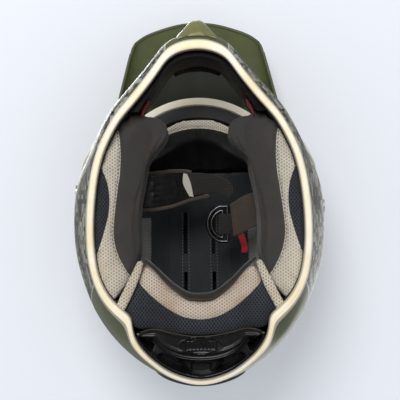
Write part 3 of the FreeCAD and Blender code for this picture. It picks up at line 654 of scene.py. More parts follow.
def frames_along(points, up, closed=False):
    """(point, side, up) along a line; up is a fixed direction or a function of the index."""
    out = []
    for i, p in enumerate(points):
        a = points[i - 1] if (i or closed) else points[i]
        b = points[(i + 1) % len(points)] if (closed or i + 1 < len(points)) else points[i]
        along = (b - a).normalized()
        lift = Vector(up(i) if callable(up) else up)
        lift = (lift - along * lift.dot(along)).normalized()
        out.append((p, along.cross(lift), lift))
    return out


def tube(name, points, wide, high=None, up=(0, 0, 1), sides=14, closed=False, ends=3):
    """A tube with an oval section along a line; wide and high are numbers or functions of the index.
    Its open ends are rounded off."""
    size = lambda value, i: value(i) if callable(value) else value
    high = high or wide
    rings = []
    frames = frames_along(points, up, closed)
    turns = [2 * math.pi * k / sides for k in range(sides)]
    for i, (p, side, lift) in enumerate(frames):
        w, h = size(wide, i), size(high, i)
        rings.append([p + side * (w * math.cos(t)) + lift * (h * math.sin(t)) for t in turns])
    if not closed:
        for last, step in ((0, 1), (-1, -1)):
            p, side, lift = frames[last]
            out = (p - frames[last + step][0]).normalized()
            w, h = size(wide, last % len(frames)), size(high, last % len(frames))
            for n in range(1, ends + 1):
                a = math.pi / 2 * n / (ends + 0.25)
                ring = [p + out * (min(w, h) * math.sin(a))
                        + (side * (w * math.cos(t)) + lift * (h * math.sin(t))) * math.cos(a) for t in turns]
                rings = [ring] + rings if last == 0 else rings + [ring]
    return loft(name, rings, closed, 80.0)


def flat_section(half, thick, side, lift, rounding=6):
    """Outline of a thin strap: flat faces and round edges."""
    out = []
    for sign in (1, -1):
        for n in range(rounding + 1):
            a = math.pi * n / rounding - math.pi / 2
            out.append(side * (sign * (half - thick / 2 + thick / 2 * math.cos(a)))
                       + lift * (sign * thick / 2 * math.sin(a)))
        for n in range(1, 6):
            out.append(side * (sign * (half - thick / 2) * (1 - 2 * n / 6)) + lift * (sign * thick / 2))
    return out


def strap(name, points, half, thick, up=(0, 0, 1), closed=False):
    """A flat strap along a line; half its width is a number or a function of the index."""
    rings = []
    for i, (p, side, lift) in enumerate(frames_along(points, up, closed)):
        wide = half(i) if callable(half) else half
        rings.append([p + q for q in flat_section(wide, thick, side, lift)])
    return loft(name, rings, closed, 60.0)


def place(item, body, slot, *replaced, finish=None, fill=None, bend=None):
    """Gives a piece its body and slot, its slot's finish or a finer one, and hides what it stands for.
    Where the piece crosses a joint, bend holds the second body and the points between which it bends."""
    item.data.materials.clear()
    item.data.materials.append(finish if isinstance(finish, bpy.types.Material) else finishes[finish or slot])
    if bend:
        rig.blend(item, body, *bend)
    else:
        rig.ride(item, body)
    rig.slot(item, slot)
    if replaced:
        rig.replaces(item, *replaced)
    if fill is not None:
        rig.padded(item, fill=fill)
    return item


def surface_tree(item):
    """A search tree over an object's faces, for measuring where they are."""
    work = bmesh.new()
    work.from_mesh(item.data)
    tree = BVHTree.FromBMesh(work)
    work.free()
    return tree


def tree_of(name):
    return surface_tree(nodes[name])


FAR = 0.4           # a distance that is outside the helmet everywhere


def outward(angle):
    """Level direction at an angle from the chin, towards the wearer's left."""
    a = math.radians(angle)
    return Vector((math.sin(a), -math.cos(a), 0))


def outer_radius(tree, angle, z):
    hit = tree.ray_cast(outward(angle) * FAR + Vector((0, 0, z)), -outward(angle))[0]
    return math.hypot(hit.x, hit.y) if hit else 0.0


def inner_radius(tree, angle, z):
    hit = tree.ray_cast(Vector((0, 0, z)), outward(angle))[0]
    return math.hypot(hit.x, hit.y) if hit else 0.0


def settle(item):
    """Applies the item's modifiers to its mesh."""
    graph = bpy.context.evaluated_depsgraph_get()
    graph.update()
    mesh = bpy.data.meshes.new_from_object(item.evaluated_get(graph))
    item.modifiers.clear()
    item.data = mesh


def move_points(item, shift):
    """Moves each vertex by what shift(position, normal) gives."""
    normals = [v.normal.copy() for v in item.data.vertices]
    for vertex, normal in zip(item.data.vertices, normals):
        vertex.co = vertex.co + shift(vertex.co, normal)
    item.data.update()


# ---------------- padded pieces
def foam_block(name, node, voxel=3.2 * MM, inset=0.9 * MM):
    """The start of a pad: the CAD solid remeshed, rounded and drawn in a little."""
    work = bmesh.new()
    work.from_mesh(nodes[node].data)
    bmesh.ops.remove_doubles(work, verts=work.verts, dist=0.01 * MM)
    item = made_from(work, name)
    remesh = item.modifiers.new("remesh", "REMESH")
    remesh.mode, remesh.voxel_size = "VOXEL", voxel
    relax = item.modifiers.new("relax", "SMOOTH")
    relax.factor, relax.iterations = 0.5, 4
    settle(item)
    move_points(item, lambda p, n: n * -inset)
    return item


SIM_FRAMES = 20


def puff_up(pads, pressure=4.0, cap=3.0 * MM):
    """Inflates the pads' cloth skins together, and limits how far each point may go."""
    starts = [[v.co.copy() for v in pad.data.vertices] for pad in pads]
    for pad in pads:
        cloth = pad.modifiers.new("cloth", "CLOTH")
        cloth.settings.use_pressure = True
        cloth.settings.uniform_pressure_force = pressure
        cloth.settings.quality = 5
        cloth.settings.effector_weights.gravity = 0
        cloth.point_cache.frame_end = SIM_FRAMES
    for number in range(1, SIM_FRAMES + 1):
        bpy.context.scene.frame_set(number)
    for pad, start in zip(pads, starts):
        settle(pad)
        for vertex, origin in zip(pad.data.vertices, start):
            move = vertex.co - origin
            if move.length > cap:
                vertex.co = origin + move * (cap / move.length)
        pad.data.update()
    bpy.context.scene.frame_set(1)


def keep_in_place(pad, tree, proud=0.4 * MM):
    """Brings points back that stand further out of the CAD solid than proud."""
    for vertex in pad.data.vertices:
        at, normal, _, _ = tree.find_nearest(vertex.co)
        out = (vertex.co - at).dot(normal)
        allowed = proud(vertex.co) if callable(proud) else proud
        if out > allowed:
            vertex.co = at + normal * allowed
    pad.data.update()


def refine(item, levels=1):
    fine = item.modifiers.new("fine", "SUBSURF")
    fine.levels = fine.render_levels = levels
    settle(item)
    tidy(item.data, 180.0)


def wrinkle(item, depth, size, seed):
    """Slow unevenness of a stuffed surface."""
    away = Vector((seed * 7.3, seed * 3.1, seed * 5.7))
    move_points(item, lambda p, n: n * (depth * noise.noise(p / size + away)))


def sew(item, distance, depth=1.2 * MM, width=1.6 * MM):
    """Draws the surface in along the line where distance(position) is 0."""
    move_points(item, lambda p, n: n * (-depth * math.exp(-((distance(p) / width) ** 2))))


def add_stitch(work, middle, *half_axes):
    matrix = Matrix(half_axes).transposed().to_4x4()
    matrix.translation = middle
    bmesh.ops.create_icosphere(work, subdivisions=2, radius=1.0, matrix=matrix)


UP = Vector((0, 0, 1))


def stitches(name, tree, line, pitch=3.6 * MM, length=2.4 * MM, thread=0.36 * MM, sink=0.1 * MM):
    """Thread stitches along a line, laid on the lowest surface above it."""
    made, run = [], 0.0
    last = line[0]
    for point in line[1:]:
        run += (point - last).length
        last = point
        if run < pitch:
            continue
        run = 0.0
        hit, normal, _, _ = tree.ray_cast(point - UP * 0.25, UP)
        if hit is not None:
            made.append((hit, normal if normal.z < 0 else -normal))
    work = bmesh.new()
    for (at, normal), (after, _) in zip(made, made[1:] + made[-2:-1]):
        along = after - at
        if along.length > 3 * pitch:
            continue
        along = (along - normal * along.dot(normal)).normalized()
        middle = at + normal * (thread - sink - 0.2 * MM)
        add_stitch(work, middle, along.cross(normal) * thread, along * (length / 2), normal * thread)
    return made_from(work, name, 180.0)


# ---------------- bottom rim edging
def nape_step(angle):
    """How far the edging's inner wall stands back at the nape, in metres."""
    return 1.8 * MM * rise(30.0 - abs(angle - 180.0), 0.0, 12.0)


def rim_edging():
    """The moulded rubber edging: a round-cornered band with a fine parting line, jointed at the nape."""
    tree, shell = tree_of("rim_trim"), tree_of("outer_shell")
    top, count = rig.box("rim_trim")[1].z, 480
    lip, corner = 6.4 * MM, 1.3 * MM
    quarter = [math.pi / 2 * k / 6 for k in range(1, 6)]
    rings = []
    for i in range(count):
        angle = 360.0 * i / count
        inner = inner_radius(tree, angle, 5 * MM) + nape_step(angle)
        w = outer_radius(shell, angle, 3 * MM) + 0.7 * MM - inner
        w_top = outer_radius(shell, angle, lip) + 0.6 * MM - inner
        joint = 0.45 * MM * math.exp(-((abs(angle - 180.0) / 0.55) ** 2))
        section = [(1.1 * MM, top), (0.3 * MM, top - 0.8 * MM), (0.0, top - 2.4 * MM), (0.0, 3.0 * MM)]
        section += [(corner * (1 - math.cos(a)), 3.0 * MM - 2.8 * MM * math.sin(a)) for a in quarter]
        section += [(corner, 0.15 * MM), (w * 0.40, 0.0), (w * 0.60, 0.0), (w * 0.66, 0.30 * MM),
                    (w * 0.71, 0.05 * MM), (w - corner, 0.2 * MM)]
        section += [(w - corner * (1 - math.sin(a)), 0.2 * MM + 2.4 * MM * (1 - math.cos(a)))
                    for a in quarter]
        section += [(w, 2.9 * MM), (w_top, lip - 0.9 * MM), (w_top - 0.2 * MM, lip - 0.2 * MM),
                    (w_top - 1.1 * MM, lip)]
        rings.append([outward(angle) * (inner + r) + UP * (z + (joint if z < 4 * MM else 0.0))
                      for r, z in section])
    edging = loft("rim_edging", rings, closed=True, sharp=60.0)
    place(edging, "shell", "rim_rubber", "rim_trim")


# ---------------- cheek pads
# where the cheek pads' cloths meet, as (y, distance from the middle plane) in millimetres
SUEDE_EDGE = [(-100, 96), (-92, 84), (-85, 76), (-78, 72.8), (-60, 70.8), (-44, 71.3), (-28, 73.4),
              (-13, 75.4), (3, 77.4), (13, 77.9), (24, 77.0), (34, 74.4), (44, 70.0), (55, 63.6), (64, 56.0),
              (90, 40)]
LENS_EDGE = [(-66, 108), (-56, 97), (-48, 90.6), (-37, 85.4), (-28, 82.8), (-18, 81.7), (-8, 82.1), (5, 84.5),
             (21, 88.9), (36, 95.0), (48, 104)]
# the stitched line near the suede's inner edge
INNER_SEAM = [(-78, 34), (-70, 35.5), (-58, 42.5), (-45, 47.6), (-30, 52.5), (-13, 57.2), (3, 59.6),
              (13, 59.8), (24, 58.6), (34, 58.0), (46, 57.6)]


def pad_finish():
    """Suede inside, a pale mesh band round it and a dark mesh panel beside the rim."""
    f = Finish("cheek_pad_cloth", 0.88, Sheen_Weight=0.18, Sheen_Roughness=0.5)
    x, y, _ = f.parts()
    across = f.size(x)
    suede_gap = f.minus(across, f.curve(millimetres(SUEDE_EDGE), y))
    lens_gap = f.minus(across, f.curve(millimetres(LENS_EDGE), y))
    solid = mesh_holes(f, 2.3 * MM)
    cloud = f.step(f.cloud(45.0, 4.0), 0.35, 0.75)
    pale = f.blend(solid, srgb(190, 181, 166), f.blend(cloud, srgb(240, 234, 220), srgb(226, 215, 196)))
    net = grid_threads(f, 2.4 * MM)
    dark = f.blend(net, srgb(20, 22, 27), f.blend(cloud, srgb(68, 72, 84), srgb(54, 58, 68)))
    patch = f.step(f.cloud(38.0, 5.0, 0.65), 0.42, 0.68)
    fibre = f.cloud(2200.0, 3.0, 0.7)
    suede_tone = f.blend(f.times(fibre, 0.3), f.blend(patch, srgb(70, 69, 69), srgb(80, 73, 69)),
                         srgb(86, 83, 80))
    in_mesh = f.step(suede_gap, -0.1 * MM, 0.1 * MM)
    tone = f.blend(in_mesh, suede_tone, f.blend(f.step(lens_gap, -0.1 * MM, 0.1 * MM), pale, dark))
    line = f.calc("MAXIMUM", f.near(suede_gap, 0.55 * MM), f.near(lens_gap, 0.5 * MM))
    f.colour(f.blend(f.times(line, 0.8), tone, srgb(30, 27, 25)))
    relief = f.plus(f.times(fibre, 0.4), f.times(f.cloud(420.0, 3.0), 0.25))
    f.bump(f.mix(in_mesh, relief, solid), 0.32 * MM)
    return f.material


def fill_to_rim(pad, side):
    """Widens a cheek pad's lower outer edge until it meets the rim edging."""
    rim, own = tree_of("rim_trim"), tree_of("cheek_pad_" + side)
    reach = {}

    def shift(p, _):
        angle = round(math.degrees(math.atan2(p.x, -p.y)))
        if angle not in reach:
            edge = max(outer_radius(own, angle, z * MM) for z in (12, 20, 28))
            reach[angle] = (edge, inner_radius(rim, angle, 5 * MM) - 0.3 * MM)
        edge, wall = reach[angle]
        r = math.hypot(p.x, p.y)
        if not edge or r < edge - 20 * MM or p.z > 40 * MM:
            return Vector()
        near = min(1.0, (r - edge + 20 * MM) / (17 * MM))
        low = min(1.0, (40 * MM - p.z) / (16 * MM))
        tuck = 2.2 * MM if p.z > 11.6 * MM else 0.0
        return outward(angle) * ((wall + tuck - edge) * near * near * low)
    move_points(pad, shift)


def finish_cheek_pad(pad, side, finish):
    body = "cheek_pad_" + side
    sign = 1 if side == "left" else -1
    keep_in_place(pad, tree_of(body), 0.5 * MM)
    fill_to_rim(pad, side)
    refine(pad)
    suede_line, lens_line, seam_line = (millimetres(t) for t in (SUEDE_EDGE, LENS_EDGE, INNER_SEAM))
    sew(pad, lambda p: abs(p.x) - smooth(suede_line, p.y), 1.3 * MM, 2.2 * MM)
    sew(pad, lambda p: abs(p.x) - smooth(lens_line, p.y), 1.0 * MM, 2.0 * MM)
    sew(pad, lambda p: abs(p.x) - smooth(seam_line, p.y) if -0.078 < p.y < 0.046 and p.z < 60 * MM else 1.0,
        1.0 * MM, 1.8 * MM)
    wrinkle(pad, 0.45 * MM, 16 * MM, 1.0 if side == "left" else 2.0)
    refine(pad)
    place(pad, body, "suede", body, finish=finish, fill=0.8)
    tree = surface_tree(pad)
    rows = []
    for table, front, rear, shift in ((SUEDE_EDGE, -84, 60, -2.4), (SUEDE_EDGE, -84, 60, 1.6),
                                      (INNER_SEAM, -76, 45, 1.6)):
        line = [Vector((sign * (smooth(table, y / 4) + shift) * MM, y / 4 * MM, 0))
                for y in range(front * 4, rear * 4)]
        rows.append(stitches("row", tree, line))
    place(join("cheek_stitching_" + side, rows), body, "suede", finish="thread")
    low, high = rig.box("release_ribbon_" + side)
    z = (low.z + high.z) / 2 / MM
    path = through([(sign * 51.5, -93.0, z), (sign * 50.0, -97.5, z - 0.5), (sign * 47.0, -103.0, z + 0.4),
                    (sign * 45.2, -108.0, z)], 8)
    turn = lambda i: Vector((sign * 0.85, 0.5, 0.10 * math.sin(i * 0.4)))
    tab = strap("ribbon_tab_" + side, path, 6.6 * MM, 0.9 * MM, turn)
    place(tab, body, "red_ribbon", "release_ribbon_" + side)


# ---------------- neck roll
ARC_EDGE = [(0, 94.4), (16.2, 91.5), (26.5, 86.2), (36.9, 78.9), (47.2, 69.6), (56, 60.1), (64, 48), (74, 30)]


def neck_finish():
    """A pale mesh arc in front of a net panel."""
    f = Finish("neck_roll_cloth", 0.88, Sheen_Weight=0.15)
    x, y, _ = f.parts()
    gap = f.minus(y, f.curve(millimetres(ARC_EDGE), f.size(x)))
    solid = mesh_holes(f, 2.2 * MM)
    cloud = f.step(f.cloud(30.0, 4.0), 0.38, 0.72)
    pale = f.blend(solid, srgb(182, 164, 146), f.blend(cloud, srgb(238, 227, 213), srgb(222, 196, 172)))
    net = grid_threads(f, 2.5 * MM)
    dark = f.blend(net, srgb(20, 22, 28), f.blend(cloud, srgb(76, 80, 92), srgb(60, 64, 74)))
    beyond = f.step(gap, -0.1 * MM, 0.1 * MM)
    f.colour(f.blend(f.times(f.near(gap, 0.5 * MM), 0.7), f.blend(beyond, pale, dark), srgb(60, 54, 48)))
    f.bump(f.plus(f.mix(beyond, solid, net), f.times(f.cloud(2400.0, 2.0), 0.3)), 0.34 * MM)
    return f.material


def finish_neck_roll(roll):
    """The sewn roll, its stitching, the suede binding in front and the two soft ends."""
    keep_in_place(roll, tree_of("neck_roll"), 0.6 * MM)
    refine(roll)
    arc = millimetres(ARC_EDGE)
    sew(roll, lambda p: p.y - smooth(arc, abs(p.x)) if p.z < 40 * MM else 1.0, 1.3 * MM, 2.4 * MM)
    wrinkle(roll, 0.6 * MM, 20 * MM, 3.0)
    refine(roll)
    place(roll, "shell", "pale_mesh", "neck_roll", finish=neck_finish(), fill=0.75)
    tree = surface_tree(roll)
    half = [Vector((x / 2 * MM, (smooth(ARC_EDGE, x / 2) + 1.7) * MM, 0)) for x in range(108)]
    line = [Vector((-p.x, p.y, 0)) for p in reversed(half)] + half
    place(stitches("neck_stitching", tree, line, 3.8 * MM), "shell", "black_mesh", finish="thread")

    lip = [(0, 74.3, 21), (10.9, 72.8, 21), (21.4, 67.0, 22), (31.9, 58.0, 24), (42, 47.6, 27),
           (50, 40.6, 30)]
    line = through([(-x, y, z) for x, y, z in reversed(lip[1:])] + lip, 10)
    last = len(line) - 1
    binding = tube("neck_binding", line, lambda i: (1.6 + 1.8 * math.sin(math.pi * i / last)) * MM, 7.5 * MM,
                   sides=20)
    wrinkle(binding, 0.35 * MM, 9 * MM, 4.0)
    place(binding, "shell", "suede", finish="dark_suede")

    for side, sign in (("left", 1), ("right", -1)):
        seam = through([(sign * 54.2, 42.5, 12.6), (sign * 58.4, 53, 11.4), (sign * 64.2, 66, 10.6),
                        (sign * 71.4, 80, 9.8), (sign * 74.0, 85, 9.6)], 12)
        end = tube("neck_roll_end_" + side, seam, lambda i: (2.9 + 1.6 * min(1.0, i / 20)) * MM, 2.6 * MM,
                   sides=24)
        middle = [(p.y, sign * p.x) for p in seam]
        sew(end, lambda p: p.x * sign - smooth(middle, p.y), 0.5 * MM, 0.9 * MM)
        wrinkle(end, 0.4 * MM, 10 * MM, 5.0 + sign)
        place(end, "shell", "pale_mesh", fill=0.6)


# ---------------- crown liner
def crown_finish():
    """Black satin in front, ribbed mesh over the crown and grey mesh at the sides."""
    f = Finish("crown_liner_cloth", 0.72, Sheen_Weight=0.12)
    x, y, _ = f.parts()
    across = f.size(x)
    fold = f.size(f.minus(across, 14.0 * MM))
    ribs = f.calc("SINE", f.times(f.plus(y, fold), 2 * math.pi / (2.7 * MM)))
    holes = mesh_holes(f, 1.9 * MM)
    weave = f.plus(f.times(ribs, 0.5), f.times(holes, 0.5))
    black = f.blend(f.step(weave, -0.2, 0.8), srgb(20, 22, 24), srgb(56, 60, 64))
    grey = f.blend(holes, srgb(110, 108, 100), srgb(176, 175, 168))
    side = f.times(f.step(across, 52.5 * MM, 52.9 * MM), f.step(y, 4 * MM, 5 * MM))
    f.colour(f.blend(side, black, grey))
    f.bump(weave, 0.3 * MM)
    return f.material


def brow_finish():
    """A pale mesh band along the brow, and quilted black satin behind it."""
    f = Finish("brow_liner_cloth", 0.55, Specular_IOR_Level=0.2)
    x, y, _ = f.parts()
    behind = lambda middle, bow: f.minus(f.minus(middle, f.times(f.times(x, x), -bow)), y)
    gap, front = behind(-92.2 * MM, 6.1), behind(-109.0 * MM, 5.4)
    holes = mesh_holes(f, 2.2 * MM)
    pale = f.blend(holes, srgb(176, 163, 143), srgb(232, 223, 204))
    band = f.times(f.step(gap, 0.0, 0.3 * MM), f.step(front, 0.3 * MM, 0.0))
    satin = f.blend(f.step(f.cloud(60.0, 3.0), 0.4, 0.7), srgb(17, 17, 18), srgb(27, 26, 26))
    f.colour(f.blend(band, satin, pale))
    f.rough(f.mix(band, f.mix(f.cloud(90.0), 0.42, 0.6), 0.85))
    f.bump(f.mix(band, f.cloud(1200.0, 2.0), holes), 0.25 * MM)
    return f.material


# the crown liner's slots in millimetres: distance from the middle, half width, and (front, rear) ends
SLOT_X, SLOT_HALF = 15.6, 2.0
SLOTS = ((-1, 46), (64, 85))
CROWN_FOOT = 150 * MM           # the flat part of the liner lies above this height


def slot_cutter(x, front, rear):
    """A tall round-ended bar with the plan of one slot."""
    outline = []
    for k in range(16):
        a = 2 * math.pi * k / 16
        end = rear - SLOT_HALF if math.sin(a) > 0 else front + SLOT_HALF
        outline.append(Vector(((x + SLOT_HALF * math.cos(a)) * MM, (end + SLOT_HALF * math.sin(a)) * MM, 0)))
    return loft("cutter", [[p + UP * (h * MM) for p in outline] for h in (150, 260)])


def beside_slot(p):
    """Distance of a point on the crown from the middle line of a slot; far away elsewhere."""
    near = p.z > CROWN_FOOT and any((front - 4) * MM < p.y < (rear + 4) * MM for front, rear in SLOTS)
    return abs(abs(p.x) - SLOT_X * MM) if near else 1.0


def finish_crown(crown):
    """The crown liner: seams, four cut slots with their stitching, and the zigzag seams at its sides."""
    keep_in_place(crown, tree_of("crown_pad"), 0.4 * MM)
    refine(crown)
    sew(crown, beside_slot, 1.6 * MM, 4.2 * MM)
    sew(crown, lambda p: p.x if p.z > CROWN_FOOT and p.y > -30 * MM else 1.0, 0.9 * MM, 3.0 * MM)
    sew(crown, lambda p: abs(p.x) - 33 * MM if p.z > CROWN_FOOT else 1.0, 1.1 * MM, 3.0 * MM)
    sew(crown, lambda p: abs(p.x) - 52.7 * MM if p.z > 140 * MM and p.y > 4 * MM else 1.0, 1.0 * MM, 2.0 * MM)
    wrinkle(crown, 0.5 * MM, 18 * MM, 8.0)
    knife = join("cutters", [slot_cutter(x, *ends) for x in (-SLOT_X, SLOT_X) for ends in SLOTS])
    cut = crown.modifiers.new("slots", "BOOLEAN")
    cut.operation, cut.object, cut.solver = "DIFFERENCE", knife, "EXACT"
    settle(crown)
    bpy.data.objects.remove(knife)
    tidy(crown.data, 55.0)
    place(crown, "shell", "black_mesh", "crown_pad", finish=crown_finish(), fill=0.5)
    tree = surface_tree(crown)
    rows, zigzags = [], []
    for x in (-SLOT_X - 3.6, -SLOT_X + 3.6, SLOT_X - 3.6, SLOT_X + 3.6):
        line = [Vector((x * MM, y / 2 * MM, 0.1)) for y in range(-4, 182)]
        rows.append(stitches("row", tree, line, 3.0 * MM, 2.0 * MM, 0.42 * MM, 0.0))
    place(join("crown_stitching", rows), "shell", "black_mesh", finish="pale_thread")
    for sign in (-1, 1):
        line = [Vector((sign * (52.7 + 0.9 * (k % 2)) * MM, (6 + k * 1.6) * MM, 0.1)) for k in range(34)]
        zigzags.append(stitches("zigzag", tree, line, 1.4 * MM, 1.9 * MM, 0.4 * MM, 0.0))
    place(join("crown_side_stitching", zigzags), "shell", "black_mesh", finish="pale_thread")


def finish_brow(brow):
    """The brow band, sewn along its rear edge and puckered behind it."""
    keep_in_place(brow, tree_of("brow_pad"), 0.4 * MM)
    refine(brow)
    sew(brow, lambda p: p.x if p.y > -94 * MM else 1.0, 1.5 * MM, 2.2 * MM)
    sew(brow, lambda p: p.y - (-93.2 * MM + 6.1 * p.x * p.x) if p.z > 170 * MM else 1.0, 1.2 * MM, 1.8 * MM)
    puckers = lambda p: 0.5 * MM * math.sin(p.x / (3.2 * MM)) * math.exp(-((p.y + 86 * MM) / (9 * MM)) ** 2)
    move_points(brow, lambda p, n: n * (puckers(p) if p.y > -92 * MM else 0.0))
    wrinkle(brow, 0.5 * MM, 14 * MM, 9.0)
    refine(brow)
    place(brow, "shell", "pale_mesh", "brow_pad", finish=brow_finish(), fill=0.55)


# ---------------- chin bar lining
# how much thicker than the foam the lined wall is, at angles from the middle
LINING_DEPTH = [(0, 4.8), (8, 4.8), (16, 4.6), (24, 5.4), (33, 8.3), (42, 13.0), (52, 18.0)]
# its face from bottom to top, as (how far back, height) in millimetres
LINING_FACE = [(0.5, 11.8), (0.0, 20), (-0.5, 34), (-0.8, 50), (-0.4, 66), (0.2, 76), (1.0, 82), (2.6, 85.6),
               (5.0, 86.9)]


def chin_lining():
    """The lining inside the chin bar, the thread on its inner edge and the stitched lip at its middle."""
    tree = tree_of("chin_foam")
    pad_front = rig.box("cheek_pad_left")[0].y
    wall = {}
    for step in range(-200, 201):
        angle = step / 4
        back = (0.8 * MM - pad_front) / math.cos(math.radians(angle))
        radius = inner_radius(tree, angle, 70 * MM)
        radius = max(radius - smooth(LINING_DEPTH, abs(angle)) * MM, back)
        if outer_radius(tree, angle, 60 * MM) > radius + 1.5 * MM:
            wall[angle] = radius
    rings = []
    for angle, radius in sorted(wall.items()):
        section = [(radius + d * MM, z * MM) for d, z in LINING_FACE]
        for z in (87 * MM, 60 * MM, 30 * MM, 12.2 * MM):
            behind = outer_radius(tree, angle, min(z, 85 * MM)) - 0.6 * MM
            section.append((max(behind, radius + 1.2 * MM), z))
        rings.append([outward(angle) * r + UP * z for r, z in section])
    lining = loft("chin_lining", rings, sharp=50.0)
    wrinkle(lining, 0.35 * MM, 22 * MM, 11.0)
    place(lining, "shell", "chin_lining", "chin_foam", fill=0.9)
    edge = [outward(a) * (wall[a] + 0.7 * MM) + UP * (84.6 * MM) for a in sorted(wall)][::4]
    place(tube("chin_edge_thread", edge, 0.45 * MM, sides=10), "shell", "chin_lining", finish="tan_thread")
    reach = 9
    lip = [outward(a / 2) * (wall[a / 2] - 1.5 * MM * math.cos(math.radians(90 * a / 2 / (reach + 1))))
           + UP * (87.6 * MM) for a in range(-2 * reach, 2 * reach + 1)]
    place(tube("deflector_lip", lip, 2.4 * MM, 1.3 * MM, sides=16), "shell", "black_rubber")
    work = bmesh.new()
    for p, side, lift in frames_along(lip, UP)[3:-3:2]:
        half_axes = (side.cross(lift) * 0.42 * MM, side * 1.3 * MM, lift * 0.42 * MM)
        add_stitch(work, p - lift * 1.35 * MM, *half_axes)
    place(made_from(work, "deflector_stitching", 180.0), "shell", "black_rubber", finish="tan_thread")


# ---------------- straps
def plate(name, at, thick, along=60, across=24, edge=0.10, relief=None):
    """A thin sewn panel on the surface at(u, v), with rounded borders; relief raises its lower face."""
    def normal(u, v):
        e = 0.01
        along_u = at(min(u + e, 1), v) - at(max(u - e, 0), v)
        along_v = at(u, min(v + e, 1)) - at(u, max(v - e, 0))
        return along_u.cross(along_v).normalized()

    work = bmesh.new()
    for sign in (1, -1):
        grid = []
        for i in range(along + 1):
            row = []
            for j in range(across + 1):
                u, v = i / along, j / across
                border = min(1.0, min(v, 1 - v) / edge, min(u, 1 - u) / (edge * across / along * 1.2))
                half = thick / 2 * math.sqrt(1 - (1 - border) ** 2)
                n = normal(u, v)
                if n.z > 0:
                    n = -n
                raised = relief(u, v) if relief and sign > 0 else 0.0
                row.append(work.verts.new(at(u, v) + n * (sign * half + raised)))
            grid.append(row)
        for i in range(along):
            for j in range(across):
                work.faces.new((grid[i][j], grid[i + 1][j], grid[i + 1][j + 1], grid[i][j + 1]))
    return made_from(work, name, 70.0)


def between(first, second, steps=24):
    """A surface between two smooth lines through points in millimetres."""
    a, b = through(first, steps), through(second, steps)

    def on(line, u):
        place_at = u * (len(line) - 1)
        i = min(int(place_at), len(line) - 2)
        return line[i].lerp(line[i + 1], place_at - i)
    return lambda u, v: on(a, u).lerp(on(b, u), v)


def frame_relief(u, v):
    """Two plain embossed rectangles."""
    raised = 0.0
    for middle in (0.36, 0.66):
        far = max(abs(u - 0.42) / 0.17, abs(v - middle) / 0.09)
        raised = max(raised, 0.30 * MM * math.exp(-((far - 1.0) / 0.16) ** 2))
    return raised


# the snap's stud from its base to its crown, as (radius, height) in millimetres
STUD = [(4.6, 0.5), (4.6, -0.2), (4.2, -0.7), (3.3, -0.9), (3.0, -0.5), (2.4, -0.5), (2.1, -1.1), (1.2, -1.5),
        (0.3, -1.6)]


def fold(side, y):
    """Where a strap half bends: its body, and the points where the bend starts and ends."""
    sign = 1 if side == "left" else -1
    return "strap_" + side, (sign * 0.051, y, 0.105), (sign * 0.043, y, 0.105)


def right_strap():
    """The long half: a vinyl panel with rolled suede borders, a white label, the webbing and its snap."""
    front = [(-58, -41.5, 104.6), (-46, -41.6, 105.2), (-30, -43.4, 108.6), (-18, -43.8, 112.2),
             (-9, -43.0, 115.2)]
    rear = [(-58, -5.5, 104.6), (-46, -5.6, 105.2), (-28, -8.6, 109), (-10, -14.6, 115), (6, -18.2, 118)]
    bend = fold("right", -0.025)
    panel = plate("strap_panel_right", between(front, rear), 2.4 * MM, relief=frame_relief)
    place(panel, "shell", "strap_vinyl", "strap_cover_right", bend=bend)
    borders = [tube("border", through(line, 10), 1.9 * MM, 2.0 * MM)
               for line in (front, rear + [(8.5, -18.4, 118.2)])]
    place(join("strap_borders_right", borders), "shell", "suede", bend=bend, finish="brown_suede")
    label_edges = ([(-15.4, -41.6, 109.4), (-15.8, -31, 109.6), (-9.7, -18.4, 110.9)],
                   [(-11.6, -41.0, 110.2), (-8.0, -31, 111.0), (-5.4, -17.6, 112.2)])
    label = plate("strap_label_white", between(*label_edges), 0.7 * MM, 40, 10)
    place(label, "strap_right", "label_cloth", "strap_label")
    upper = [(-12.6, -42.0, 111.6), (1, -41.8, 116.4), (18, -39.4, 121.2), (30, -33.4, 122.0),
             (35.5, -25, 118.6)]
    lower = [(-6.6, -19.4, 112.8), (5.6, -20.6, 117.0), (17, -20.6, 120.8), (25, -18.8, 121.0),
             (31, -15.6, 117.6)]
    belt = plate("strap_webbing_right", between(upper, lower), 1.9 * MM, 90, 24, 0.05)
    place(belt, "strap_right", "webbing", "webbing_right")
    low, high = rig.box("strap_snap")
    turns = [2 * math.pi * k / 40 for k in range(40)]
    rings = [[(low + high) / 2 + Vector((r * MM * math.cos(t), r * MM * math.sin(t), h * MM)) for t in turns]
             for r, h in STUD]
    place(loft("strap_snap_stud", rings), "strap_right", "dark_steel", "strap_snap")
    tree = surface_tree(belt)
    rows = [stitches("row", tree, [Vector((x / 4 * MM, y * MM, 0.2)) for x in range(-16, 112)],
                     3.0 * MM, 2.0 * MM, 0.3 * MM, 0.0) for y in (-37.0, -24.5)]
    place(join("strap_stitching_right", rows), "strap_right", "webbing", finish="thread")


